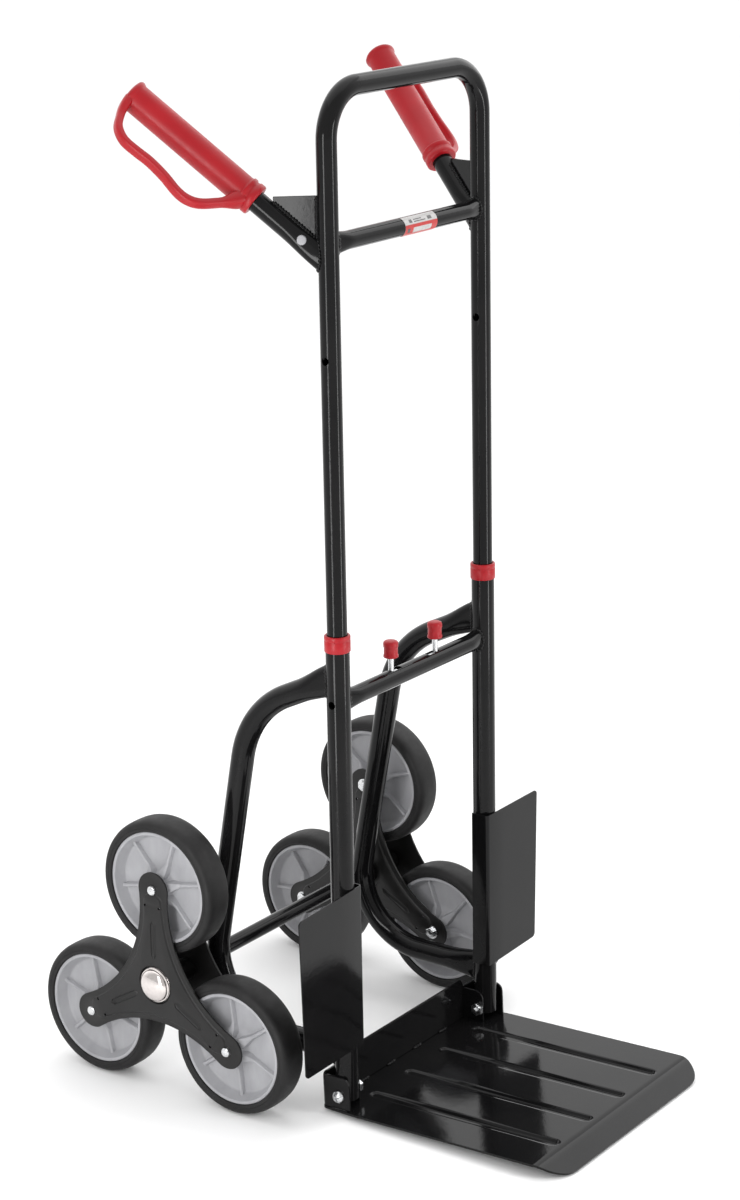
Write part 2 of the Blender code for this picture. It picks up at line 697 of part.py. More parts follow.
def tyre(side, arm, pivot):
    y, z = arm_end(ARMS[arm])
    half = TYRE_WIDTH / 2
    bore = RIM_R + GAP
    profile = [(bore, half), (0.0705, half), (WHEEL_R, half - 0.007),
               (WHEEL_R, -half + 0.007), (0.0705, -half), (bore, -half)]
    piece = turned(f"tyre_{SIDE_NAMES[side]}_{arm}", profile, RUBBER, WHEEL_SIDES)
    piece.matrix_world = along_x(side, x=WHEEL_X, y=y, z=z)
    piece.parent = pivot


# ---------------------------------------------------------------- assembly
def centre_on_floor():
    """Move the whole object so the origin lies under the middle of its bounding box."""
    tilt = sin(TOE_TILT)
    lip = (-HINGE_Z + TOE_FRONT * tilt) / cos(TOE_TILT)
    front = TOE_FRONT * cos(TOE_TILT) + lip * tilt
    rear = axle_y() + SPIDER_R * cos(pi / 6) + WHEEL_R
    frame = empty("object_frame", Matrix.Identity(4))
    for piece in list(MODEL.objects) + list(CUTTERS.objects):
        if piece.parent is None and piece is not frame:
            piece.parent = frame
    frame.location.y = -(front + rear) / 2


def build():
    handle_tube()
    cross_tube("handle_crossbar", CROSSBAR_R, INNER_WALL, TRACK - INNER_R - GAP, CROSSBAR_Z, BLACK_PAINT)
    label()
    lock_bar()
    axle()
    toe = toe_pivot()
    toe_plate(toe)
    toe_channel(toe)
    for side in (-1, 1):
        post(side)
        collar(side)
        rear_loop(side)
        wing_plate(side)
        handle_stub(side)
        gusset(side)
        grip(side)
        lock_rod(side)
        lock_knob(side)
        toe_ear(side, toe)
        hinge_bolt(side)
        hinge_nut(side)
        axle_cap(side)
        pivot = spider_pivot(side)
        spider(side, pivot)
        for arm in ARMS:
            wheel_bolt(side, arm, pivot)
            rim(side, arm, pivot)
            tyre(side, arm, pivot)
    centre_on_floor()


build()
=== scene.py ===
"""Looks of the stair-climbing hand truck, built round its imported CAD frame.

Metres, +Z up, toe plate towards -Y. Sizes come from the CAD nodes' boxes and joints where they are
known there, and from the named values below where a detail is finer than the CAD.
"""

import json
from math import acos, atan2, ceil, cos, degrees, pi, radians, sin, tan

import bmesh
import bpy
from mathutils import Matrix, Vector


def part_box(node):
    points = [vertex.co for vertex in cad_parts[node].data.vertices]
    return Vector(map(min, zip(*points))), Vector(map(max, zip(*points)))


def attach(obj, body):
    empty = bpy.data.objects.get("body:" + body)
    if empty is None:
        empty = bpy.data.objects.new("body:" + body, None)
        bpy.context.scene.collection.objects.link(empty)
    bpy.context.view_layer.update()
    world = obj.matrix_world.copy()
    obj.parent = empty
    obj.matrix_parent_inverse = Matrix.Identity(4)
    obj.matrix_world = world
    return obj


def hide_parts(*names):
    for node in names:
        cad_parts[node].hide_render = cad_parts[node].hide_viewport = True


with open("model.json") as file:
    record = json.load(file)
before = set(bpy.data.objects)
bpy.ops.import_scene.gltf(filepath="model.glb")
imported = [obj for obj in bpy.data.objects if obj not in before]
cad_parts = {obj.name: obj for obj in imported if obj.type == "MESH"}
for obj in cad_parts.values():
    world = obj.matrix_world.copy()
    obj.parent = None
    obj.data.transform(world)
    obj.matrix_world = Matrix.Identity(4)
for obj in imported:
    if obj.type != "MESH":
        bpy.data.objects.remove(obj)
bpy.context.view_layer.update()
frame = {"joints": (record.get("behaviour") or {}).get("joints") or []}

JOINTS = {joint["name"]: joint for joint in frame["joints"]}
SIDES = {"left": -1, "right": 1}
ARMS = {"top": 90.0, "front": 210.0, "rear": 330.0}


def span(node, axis):
    """Lowest and highest value of a CAD node along one axis."""
    low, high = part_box(node)
    return low[axis], high[axis]


def half_span(node, axis):
    """Half a CAD node's size along one axis."""
    low, high = span(node, axis)
    return (high - low) / 2


def middle(node):
    low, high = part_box(node)
    return (low + high) / 2


def outer(node, axis):
    """Farthest reach of a CAD node from the middle plane, without its sign."""
    low, high = span(node, axis)
    return max(abs(low), abs(high))


# ---- sizes read from the frame
TRACK = middle("post_right").x
POST_Y = middle("post_right").y
POST_R = half_span("post_right", 0)
TUBE_R = half_span("handle_tube", 1)
TUBE_LOW = span("handle_tube", 2)[0]
TUBE_TOP = span("handle_tube", 2)[1] - TUBE_R
LOCK_Z = middle("lock_bar").z
LOCK_R = half_span("lock_bar", 2)
CROSS_Z = middle("handle_crossbar").z
CROSS_R = half_span("handle_crossbar", 2)
HINGE = Vector(JOINTS["toe_fold"]["pos_m"])
HUB = Vector(JOINTS["spider_right_turn"]["pos_m"])
WHEEL_R = half_span("tyre_right_top", 2)
WHEEL_X = middle("tyre_right_top").x
SPIDER_R = middle("tyre_right_top").z - HUB.z
AXLE_R = half_span("axle", 2)

# ---- sizes finer than the frame
WALL = 0.0015
SHEET = 0.0025
ROUND = 64                    # facets round the larger tubes
GRIP_SPLAY = radians(22.4)
GRIP_RISE = radians(39.6)
STUB_Z = 0.9143
STUB_R = 0.011
GRIP_START = 0.094
GRIP_END = 0.257
GRIP_R = 0.0152
GRIP_RING_R = 0.0168
TOE_TILT = radians(2.0)
PLATE_TOP = -0.0148
TOE_HALF = 0.152
TOE_REAR = 0.0235
TOE_CREASE = -0.252
TOE_FRONT = -0.2770
TOE_CORNER = 0.036
ARM_END_R = 0.0198
WAIST_R = 0.044
LOOP_TOP_Z = 0.484
PIN_HOLE_R = 0.0042
LOOP_UPPER = (0.1180, 0.4310)
LOOP_LOWER = (0.1880, 0.0670)


# ---- materials
class Nodes:
    """Short forms for building one material's node tree."""

    def __init__(self, name):
        self.material = bpy.data.materials.new(name)
        self.material.use_nodes = True
        self.tree = self.material.node_tree
        self.shader = self.tree.nodes["Principled BSDF"]
        self.place = self.add("ShaderNodeTexCoord").outputs["Object"]

    def add(self, kind, **settings):
        node = self.tree.nodes.new(kind)
        for key, value in settings.items():
            setattr(node, key, value)
        return node

    def link(self, source, target):
        self.tree.links.new(source, target)

    def set(self, **values):
        for key, value in values.items():
            self.shader.inputs[key.replace("_", " ")].default_value = value

    def noise(self, scale, detail=4.0, roughness=0.55, stretch=None):
        texture = self.add("ShaderNodeTexNoise")
        texture.inputs["Scale"].default_value = scale
        texture.inputs["Detail"].default_value = detail
        texture.inputs["Roughness"].default_value = roughness
        source = self.place
        if stretch:
            mapping = self.add("ShaderNodeMapping")
            mapping.inputs["Scale"].default_value = stretch
            self.link(self.place, mapping.inputs["Vector"])
            source = mapping.outputs["Vector"]
        self.link(source, texture.inputs["Vector"])
        return texture.outputs["Fac"]

    def ramp(self, source, stops):
        """Colour ramp; each stop is (place, grey value or colour)."""
        node = self.add("ShaderNodeValToRGB")
        elements = node.color_ramp.elements
        while len(elements) < len(stops):
            elements.new(0.5)
        for element, (place, value) in zip(elements, stops):
            colour = value if isinstance(value, tuple) else (value, value, value)
            element.position = place
            element.color = (*colour, 1.0)
        self.link(source, node.inputs["Fac"])
        return node.outputs["Color"]

    def bump(self, *layers):
        """Stack of (height, strength, distance) bumps."""
        below = None
        for height, strength, distance in layers:
            node = self.add("ShaderNodeBump")
            node.inputs["Strength"].default_value = strength
            node.inputs["Distance"].default_value = distance
            self.link(height, node.inputs["Height"])
            if below:
                self.link(below, node.inputs["Normal"])
            below = node.outputs["Normal"]
        self.link(below, self.shader.inputs["Normal"])


def surface(name, tint, shades, gloss, roughness, grain, **settings):
    """Mottled colour, uneven gloss and grain; a noise is (scale, detail, roughness, stretch)."""
    nodes = Nodes(name)
    nodes.link(nodes.ramp(nodes.noise(*tint), shades), nodes.shader.inputs["Base Color"])
    if gloss:
        nodes.link(nodes.ramp(nodes.noise(*gloss), roughness), nodes.shader.inputs["Roughness"])
    nodes.set(**settings)
    nodes.bump(*[(nodes.noise(*noise), strength, distance) for noise, strength, distance in grain])
    return nodes.material


def black_gloss():
    """Glossy black powder coat: orange peel, faint dust and rubbed spots."""
    return surface("gloss_black_coat", (14.0, 6.0),
                   [(0.35, (0.0040, 0.0040, 0.0043)), (0.70, (0.0070, 0.0068, 0.0070))],
                   (45.0, 8.0, 0.65), [(0.30, 0.06), (0.62, 0.10), (0.80, 0.20)],
                   [((900.0, 2.0), 0.05, 0.0004), ((160.0, 2.0), 0.035, 0.0012)], IOR=1.27)


def black_satin():
    """Satin black of the pressed spiders, with a fine grain and paler rubbed patches."""
    return surface("satin_black_coat", (30.0, 7.0),
                   [(0.30, (0.0065, 0.0063, 0.0063)), (0.75, (0.0120, 0.0115, 0.0115))],
                   (60.0, 8.0, 0.7), [(0.25, 0.30), (0.75, 0.44)],
                   [((1500.0, 3.0), 0.12, 0.0003), ((220.0, 3.0), 0.05, 0.0008)], IOR=1.36)


def red_plastic():
    """Moulded red grip plastic, soft sheen with a fine spark-eroded grain."""
    return surface("red_grip_plastic", (22.0, 5.0),
                   [(0.30, (0.315, 0.0045, 0.0095)), (0.75, (0.375, 0.0075, 0.0135))],
                   (120.0, 6.0), [(0.30, 0.33), (0.75, 0.45)],
                   [((2600.0, 2.0), 0.10, 0.0002), ((260.0, 3.0), 0.04, 0.0008)],
                   IOR=1.38, Subsurface_Weight=0.05, Subsurface_Scale=0.002)


def grey_plastic():
    """Mid grey wheel plastic with faint flow marks and a little dust."""
    return surface("grey_rim_plastic", (28.0, 7.0, 0.6, (1.0, 1.6, 0.7)),
                   [(0.25, (0.27, 0.27, 0.285)), (0.55, (0.325, 0.325, 0.34)),
                    (0.85, (0.375, 0.375, 0.39))],
                   (150.0, 5.0), [(0.30, 0.40), (0.75, 0.54)],
                   [((1400.0, 3.0), 0.10, 0.0003), ((90.0, 3.0), 0.05, 0.0010)], IOR=1.48)


def rubber():
    """Matt black tyre rubber with mottled bloom and moulding grain."""
    shades = [(0.30, (0.0060, 0.0058, 0.0060)), (0.60, (0.0105, 0.0100, 0.0103)),
              (0.85, (0.0200, 0.0190, 0.0190))]
    return surface("tyre_rubber", (38.0, 8.0, 0.6), shades, (70.0, 8.0, 0.7), [(0.25, 0.48), (0.75, 0.68)],
                   [((1100.0, 4.0), 0.18, 0.0003), ((120.0, 4.0), 0.08, 0.0010)], IOR=1.36)


def metal(name, colour, low, high, streaks):
    """Bare metal whose shine varies in short streaks."""
    return surface(name, (260.0, 5.0), [(0.25, tuple(0.86 * c for c in colour)), (0.75, colour)],
                   (streaks, 6.0, 0.7), [(0.30, low), (0.75, high)],
                   [((streaks * 4.0, 3.0), 0.08, 0.0002)], Metallic=1.0)


def printed(name, colour, fade):
    """Glossy printed film with slight ink variation."""
    return surface(name, (320.0, 6.0), [(0.30, colour), (0.80, fade)], None, None,
                   [((500.0, 2.0), 0.05, 0.0002)], Roughness=0.28, IOR=1.45)


def floor_paint():
    nodes = Nodes("studio_floor")
    tint = nodes.ramp(nodes.noise(1.5, 3.0), [(0.2, 0.88), (0.8, 0.90)])
    nodes.link(tint, nodes.shader.inputs["Base Color"])
    nodes.set(Roughness=0.9)
    return nodes.material


GLOSS = black_gloss()
SATIN = black_satin()
RED = red_plastic()
GREY = grey_plastic()
RUBBER = rubber()
ZINC = metal("zinc_plated_steel", (0.70, 0.71, 0.72), 0.18, 0.38, 420.0)
CHROME = metal("polished_cap_steel", (0.74, 0.69, 0.67), 0.07, 0.20, 90.0)
INK_RED = printed("label_red_ink", (0.42, 0.022, 0.022), (0.50, 0.05, 0.045))
INK_WHITE = printed("label_white_film", (0.42, 0.41, 0.405), (0.52, 0.51, 0.50))
INK_DARK = printed("label_dark_ink", (0.05, 0.05, 0.055), (0.12, 0.11, 0.11))


# ---- shapes
def smoothstep(value):
    value = min(1.0, max(0.0, value))
    return value * value * (3.0 - 2.0 * value)


def arc(centre, radius, first, last, steps):
    """Points on an arc between two angles in degrees."""
    turns = [radians(first + (last - first) * step / steps) for step in range(steps + 1)]
    return [(centre[0] + radius * cos(turn), centre[1] + radius * sin(turn)) for turn in turns]


def rounded_path(corners, bends, pace=0.004):
    """A path through corner points, with an arc of the given bend radius at each inner corner."""
    places = [Vector(corner) for corner in corners]
    path = [places[0]]
    for before, corner, after, bend in zip(places, places[1:], places[2:], bends):
        into = (corner - before).normalized()
        out = (after - corner).normalized()
        turn = acos(max(-1.0, min(1.0, into.dot(out))))
        start = corner - into * bend * tan(turn / 2)
        side = (out - into * into.dot(out)).normalized()
        steps = max(3, ceil(bend * turn / pace))
        for step in range(steps + 1):
            angle = turn * step / steps
            path.append(start + into * bend * sin(angle) + side * bend * (1 - cos(angle)))
    path.append(places[-1])
    return path


def spaced(path, pace):
    """The same path with points at most a pace apart."""
    dense = [path[0]]
    for first, second in zip(path, path[1:]):
        steps = max(1, ceil((second - first).length / pace))
        dense += [first.lerp(second, step / steps) for step in range(1, steps + 1)]
    return dense


def curved(points, steps=8):
    """A smooth curve through points (Catmull-Rom)."""
    ends = [points[0] * 2 - points[1]] + list(points) + [points[-1] * 2 - points[-2]]
    path = []
    for a, b, c, d in zip(ends, ends[1:], ends[2:], ends[3:]):
        for step in range(steps):
            t = step / steps
            path.append((b * 2 + (c - a) * t + (a * 2 - b * 5 + c * 4 - d) * t * t
                         + (b * 3 - a - c * 3 + d) * t * t * t) * 0.5)
    return path + [points[-1]]


def new_object(name, shape, material, angle=32.0):
    """Turns a bmesh into a smooth-shaded object with crisp edges where faces meet at more than the angle."""
    bmesh.ops.remove_doubles(shape, verts=shape.verts, dist=1e-7)
    bmesh.ops.recalc_face_normals(shape, faces=shape.faces)
    mesh = bpy.data.meshes.new(name)
    shape.to_mesh(mesh)
    shape.free()
    mesh.shade_smooth()
    mesh.set_sharp_from_angle(angle=radians(angle))
    piece = bpy.data.objects.new(name, mesh)
    bpy.context.scene.collection.objects.link(piece)
    mesh.materials.append(material)
    return piece


def add_loft(shape, rings, caps=True, joined=False):
    """Skins rings of points of equal count; joined closes the last ring onto the first."""
    rows = [[shape.verts.new(point) for point in ring] for ring in rings]
    pairs = list(zip(rows, rows[1:]))
    if joined:
        pairs.append((rows[-1], rows[0]))
    for one, two in pairs:
        for k in range(len(one)):
            after = (k + 1) % len(one)
            shape.faces.new((one[k], one[after], two[after], two[k]))
    if caps and not joined:
        shape.faces.new(rows[0])
        shape.faces.new(rows[-1])


def lathe_rings(profile, matrix, sides):
    """Rings of a turned shape: (radius, height) points about the matrix's Z axis."""
    rings = []
    for k in range(sides):
        turn = 2 * pi * k / sides
        rings.append([matrix @ Vector((radius * cos(turn), radius * sin(turn), height)) for radius,
                      height in profile])
    return rings


def add_lathe(shape, profile, matrix=Matrix.Identity(4), sides=ROUND):
    """Adds a closed turned shape; a profile that starts and ends on the axis closes there."""
    closed = profile[0][0] > 0 or profile[-1][0] > 0
    rings = lathe_rings(profile, matrix, sides)
    rows = [[shape.verts.new(point) for point in ring] for ring in rings]
    count = len(profile)
    for k in range(sides):
        one, two = rows[k], rows[(k + 1) % sides]
        for j in range(count if closed else count - 1):
            after = (j + 1) % count
            corners = [one[j], one[after], two[after], two[j]]
            flat = [vert for i, vert in enumerate(corners)
                    if (vert.co - corners[i - 1].co).length > 1e-9]
            if len(flat) > 2:
                shape.faces.new(flat)


def lathe(name, profile, material, matrix=Matrix.Identity(4), sides=ROUND, angle=32.0):
    shape = bmesh.new()
    add_lathe(shape, profile, matrix, sides)
    return new_object(name, shape, material, angle)


def section(half_in, half_out, power, sides):
    """Rounded outline: power 2 is an ellipse, a higher one is boxier."""
    outline = []
    for k in range(sides):
        turn = 2 * pi * (k + 0.5) / sides
        c, s = cos(turn), sin(turn)
        outline.append((half_in * abs(c) ** (2 / power) * (1 if c > 0 else -1),
                        half_out * abs(s) ** (2 / power) * (1 if s > 0 else -1)))
    return outline


def sweep_rings(path, normal, size_at, sides):
    """Rings along a path square to normal; size_at(way) gives (half in plane, half along it, power)."""
    rings = []
    way = 0.0
    for k, point in enumerate(path):
        if k:
            way += (point - path[k - 1]).length
        ahead = (path[min(k + 1, len(path) - 1)] - path[max(k - 1, 0)]).normalized()
        inward = normal.cross(ahead).normalized()
        outline = section(*size_at(way), sides)
        rings.append([point + inward * a + normal * b for a, b in outline])
    return rings


def sweep(name, path, normal, size_at, material, sides=48):
    shape = bmesh.new()
    add_loft(shape, sweep_rings(path, normal, size_at, sides))
    return new_object(name, shape, material)


def length_of(path):
    return sum((b - a).length for a, b in zip(path, path[1:]))


def add_bead(shape, path, radius, normal, ripple=0.0034):
    """A weld bead: a lumpy rope whose ripples follow one another along the path."""
    whole = length_of(path)

    def size_at(way):
        taper = smoothstep(way / 0.003) * smoothstep((whole - way) / 0.003)
        lump = radius * (1.0 + 0.24 * sin(2 * pi * way / ripple) + 0.10 * sin(2 * pi * way / 0.0091))
        half = max(0.0002, lump * (0.35 + 0.65 * taper))
        return half, half, 2.0

    add_loft(shape, sweep_rings(spaced(path, 0.0006), normal, size_at, 10))


def add_solid(shape, outline, low, high, matrix):
    """A flat piece: a closed outline between two heights of the matrix's Z axis."""
    rings = [[matrix @ Vector((x, y, height)) for x, y in outline] for height in (low, high)]
    add_loft(shape, rings)


def bevelled(piece, width, segments=3, angle=30.0):
    step = piece.modifiers.new("edge", "BEVEL")
    step.width = width
    step.segments = segments
    step.limit_method = "ANGLE"
    step.angle_limit = radians(angle)
    step.harden_normals = True
    return piece


def cut(piece, cutter):
    """Cuts a piece at once and drops the cutter."""
    step = piece.modifiers.new("cut", "BOOLEAN")
    step.operation = "DIFFERENCE"
    step.solver = "EXACT"
    step.object = cutter
    bpy.context.view_layer.update()
    graph = bpy.context.evaluated_depsgraph_get()
    mesh = bpy.data.meshes.new_from_object(piece.evaluated_get(graph))
    piece.modifiers.clear()
    piece.data = mesh
    bpy.data.objects.remove(cutter, do_unlink=True)
    mesh.shade_smooth()
    mesh.set_sharp_from_angle(angle=radians(32.0))
    return piece


def drill(piece, radius, start, direction, depth):
    """Drills a blind hole from a point along a direction."""
    turn = direction.to_track_quat("Z", "Y").to_matrix().to_4x4()
    matrix = Matrix.Translation(start) @ turn
    return cut(piece, lathe("drill", [(0, depth), (radius, depth), (radius, -depth), (0, -depth)],
                            INK_DARK, matrix, 32))


def along_x(side, x, y, z):
    """A turned piece's own +Z points outward along X on that side."""
    return Matrix.Translation((x, y, z)) @ Matrix.Rotation(side * pi / 2, 4, "Y")


def add_piece(piece, body, *nodes):
    """Lets a piece stand for CAD nodes and move with their body."""
    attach(piece, body)
    if nodes:
        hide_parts(*nodes)
    return piece


def at(x, y, z):
    """A point counted from the posts' plane."""
    return Vector((x, POST_Y + y, z))


def post_frame(side):
    """The axis of that side's post as +Z, from the floor."""
    return Matrix.Translation(at(side * TRACK, 0, 0))


def upright(side, x=0.0, y=0.0, z=0.0):
    """Turns an outline's X and Y into Y and Z, with its +Z outward along X."""
    return Matrix(((0, 0, side, x), (1, 0, 0, y), (0, 1, 0, z), (0, 0, 0, 1)))


def panel(name, rows, thickness, material, edge=0.0004):
    """A sheet whose middle runs through rows of points."""
    shape = bmesh.new()
    grid = [[shape.verts.new(point) for point in row] for row in rows]
    for one, two in zip(grid, grid[1:]):
        for k in range(len(one) - 1):
            shape.faces.new((one[k], one[k + 1], two[k + 1], two[k]))
    piece = new_object(name, shape, material)
    skin = piece.modifiers.new("sheet", "SOLIDIFY")
    skin.thickness = thickness
    skin.offset = 0.0
    skin.use_even_offset = True
    return bevelled(piece, edge, 2, 50.0)


def add_tube(shape, path, normal, size_at, wall, sides=48):
    """A hollow tube, open at both ends."""
    skin = sweep_rings(path, normal, size_at, sides)
    bore = sweep_rings(path, normal, lambda way: (size_at(way)[0] - wall, size_at(way)[1] - wall,
                                                  size_at(way)[2]),
                       sides)
    add_loft(shape, skin + bore[::-1], joined=True)


def pressed_ends(whole, radius, tall, thin, reach):
    """Size along a bar whose ends are pressed tall and thin where they are welded on."""
    def size_at(way):
        blend = 1.0 - smoothstep(min(way, whole - way) / reach)
        return radius + (tall - radius) * blend, radius + (thin - radius) * blend, 2.0 + 0.7 * blend
    return size_at


def add_end_weld(shape, place, ahead, tall, thin, axis_x, radius, bead=0.0021):
    """Bead round a bar's end where it meets an upright tube; ahead points away from the tube."""
    across = ahead.cross(Vector((0, 0, 1))).normalized()
    up = across.cross(ahead)
    path = []
    for step in range(51):
        turn = 2 * pi * step / 48
        point = place + up * tall * sin(turn) + across * thin * cos(turn)
        offset = point - at(axis_x, 0, 0)
        a = ahead.x ** 2 + ahead.y ** 2
        b = offset.x * ahead.x + offset.y * ahead.y
        c = offset.x ** 2 + offset.y ** 2 - radius ** 2
        path.append(point + ahead * ((-b + max(0.0, b * b - a * c) ** 0.5) / a))
    add_bead(shape, path, bead, ahead)


def weld_object(name, shape):
    return new_object(name, shape, GLOSS, 60.0)


# ---- posts, handle and cross bars
def post(side, word):
    low, high = span(f"post_{word}", 2)
    ease = 0.0005
    inner = POST_R - WALL
    profile = [(POST_R, high), (inner, high), (inner, low), (POST_R - ease, low), (POST_R, low + ease)]
    piece = lathe(f"fine_post_{word}", profile, GLOSS, post_frame(side))
    drill(piece, PIN_HOLE_R, at(side * TRACK, 0, LOCK_Z), Vector((-side, 0, 0)), 2 * POST_R)
    add_piece(piece, "frame", f"post_{word}")


def collar(side, word):
    low, high = span(f"collar_{word}", 2)
    reach = half_span(f"collar_{word}", 0)
    sleeve = POST_R + 0.0003
    mouth = TUBE_R + 0.0003
    lid = high - 0.003
    profile = [(mouth, high - 0.0004), (mouth + 0.0004, high), (reach - 0.0012, high),
               (reach - 0.0004, high - 0.0004),
               (reach, high - 0.0012), (reach, high - 0.0046), (reach - 0.0004, high - 0.0050),
               (reach - 0.0004, high - 0.0056), (reach, high - 0.0060), (reach, low + 0.0006),
               (reach - 0.0005, low), (sleeve, low), (sleeve, lid), (mouth, lid)]
    piece = lathe(f"fine_collar_{word}", profile, RED, post_frame(side), angle=50.0)
    add_piece(piece, "frame", f"collar_{word}")


def handle_tube():
    corners = [at(-TRACK, 0, TUBE_LOW), at(-TRACK, 0, TUBE_TOP), at(TRACK, 0, TUBE_TOP),
               at(TRACK, 0, TUBE_LOW)]
    path = rounded_path(corners, [0.050, 0.050])
    shape = bmesh.new()
    add_tube(shape, path, Vector((0, 1, 0)), lambda way: (TUBE_R, TUBE_R, 2.0), 0.0012, ROUND)
    piece = new_object("fine_handle_tube", shape, GLOSS)
    travel = JOINTS["handle_slide"]["range_m"][1]
    for side in (-1, 1):
        for height in (LOCK_Z, LOCK_Z + travel):
            drill(piece, PIN_HOLE_R, at(side * TRACK, 0, height), Vector((-side, 0, 0)), 2 * TUBE_R)
    add_piece(piece, "handle", "handle_tube")


def cope(piece, side):
    """Cuts a bar back to the skin of the post it is welded to."""
    core = [(0, 0.70), (POST_R - 0.0003, 0.70), (POST_R - 0.0003, 0.01), (0, 0.01)]
    return cut(piece, lathe("cope_cutter", core, INK_DARK, post_frame(side)))


def cross_bar(name, body, node, radius, height, end_radius):
    """A bar between the uprights whose ends are pressed flat and welded on."""
    reach = TRACK - end_radius * 0.6
    path = spaced([at(-reach, 0, height), at(reach, 0, height)], 0.003)
    tall, thin = radius + 0.0020, radius - 0.0030
    shape = bmesh.new()
    size_at = pressed_ends(2 * reach, radius, tall, thin, 0.026)
    add_tube(shape, path, Vector((0, 1, 0)), size_at, 0.0013)
    piece = new_object(name, shape, GLOSS)
    add_piece(piece, body, node)
    welds = bmesh.new()
    for side in (-1, 1):
        add_end_weld(welds, at(side * TRACK, 0, height), Vector((-side, 0, 0)), tall, thin, side * TRACK,
                     end_radius)
    add_piece(weld_object(f"{name}_welds", welds), body)
    return piece


def lock_bar():
    piece = cross_bar("fine_lock_bar", "frame", "lock_bar", LOCK_R, LOCK_Z, POST_R)
    slack = 0.0036
    for side in (-1, 1):
        cope(piece, side)
        ends = sorted((side * (0.0405 + slack), side * (0.0285 - slack)))
        shape = bmesh.new()
        outline = [(ends[0], -slack), (ends[1], -slack), (ends[1], slack), (ends[0], slack)]
        add_solid(shape, outline, LOCK_Z + 0.003, LOCK_Z + 0.015, Matrix.Translation(at(0, 0, 0)))
        cut(piece, new_object("slot_cutter", shape, INK_DARK))


def add_film(shape, near, thick, x_range, turns):
    """Curved film on the cross bar; angles count up from straight ahead."""
    rings = []
    for step in range(17):
        turn = radians(turns[0] + (turns[1] - turns[0]) * step / 16)
        ring = []
        for x, radius in ((x_range[0], near), (x_range[1], near), (x_range[1], near + thick),
                          (x_range[0], near + thick)):
            ring.append(at(x, -radius * cos(turn), CROSS_Z + radius * sin(turn)))
        rings.append(ring)
    add_loft(shape, rings)


def label():
    """Generic printed label: a pale strip with grey bars over a red band with a pale box and a dark dot."""
    x0, x1 = span("label", 0)
    base = bmesh.new()
    add_film(base, CROSS_R + 0.0001, 0.0003, (x0, x1), (-75.0, 75.0))
    add_piece(new_object("label_film", base, INK_WHITE), "handle", "label")
    band = bmesh.new()
    add_film(band, CROSS_R + 0.0004, 0.00006, (x0, x1), (-75.0, 14.0))
    add_piece(new_object("label_band", band, INK_RED), "handle")
    bars = bmesh.new()
    for start, end, low, high in ((0.008, 0.013, 24.0, 46.0), (0.016, 0.030, 38.0, 45.0),
                                  (0.016, 0.036, 25.0, 31.0),
                                  (0.040, 0.047, 24.0, 46.0)):
        add_film(bars, CROSS_R + 0.0004, 0.00006, (x0 + start, x0 + end), (low, high))
    add_film(bars, CROSS_R + 0.00046, 0.00006, (x0 + 0.0040, x0 + 0.0085), (-34.0, -8.0))
    add_piece(new_object("label_bars", bars, INK_DARK), "handle")
    pale = bmesh.new()
    add_film(pale, CROSS_R + 0.00046, 0.00005, (x0 + 0.014, x0 + 0.046), (-40.0, -6.0))
    add_piece(new_object("label_box", pale, INK_WHITE), "handle")


# ---- rear grips
def grip_frame(side):
    """Stub axis as +Z and the guard's direction as +X, where the stub's axis meets the post's."""
    ahead = Vector((side * sin(GRIP_SPLAY) * cos(GRIP_RISE), cos(GRIP_SPLAY) * cos(GRIP_RISE),
                    sin(GRIP_RISE)))
    guard = Vector((side * 0.93, 0.0, -0.37))
    guard = (guard - ahead * ahead.dot(guard)).normalized()
    turn = Matrix((guard, ahead.cross(guard), ahead)).transposed().to_4x4()
    return Matrix.Translation(at(side * TRACK, 0, STUB_Z)) @ turn


def stub(side, word):
    place = grip_frame(side)
    ahead = place.to_3x3() @ Vector((0, 0, 1))
    level = ahead.cross(Vector((0, 0, 1))).normalized()
    first, last = 0.004, GRIP_END - 0.006
    path = spaced([place @ Vector((0, 0, first)), place @ Vector((0, 0, last))], 0.003)
    tall, thin = 0.0125, 0.0080

    def size_at(way):
        blend = 1.0 - smoothstep((way - 0.008) / 0.040)
        return STUB_R + (tall - STUB_R) * blend, STUB_R + (thin - STUB_R) * blend, 2.0 + 0.7 * blend

    piece = sweep(f"fine_stub_{word}", path, level, size_at, GLOSS)
    add_piece(piece, "handle", f"handle_stub_{word}")
    welds = bmesh.new()
    add_end_weld(welds, place.translation, ahead, tall, thin, side * TRACK, TUBE_R, 0.0019)
    add_piece(weld_object(f"stub_weld_{word}", welds), "handle")
    outward = level * side
    seat = place @ Vector((0, 0, 0.0345)) + level.cross(ahead) * 0.0025 + outward * 0.0094
    turn = Matrix.Translation(seat) @ outward.to_track_quat("Z", "Y").to_matrix().to_4x4()
    head = [(0, 0.0012), (0.0030, 0.0011), (0.0045, 0.0007), (0.0050, 0.0), (0.0050, -0.003), (0, -0.003)]
    add_piece(lathe(f"stub_plug_{word}", head, GREY, turn, 32), "handle")


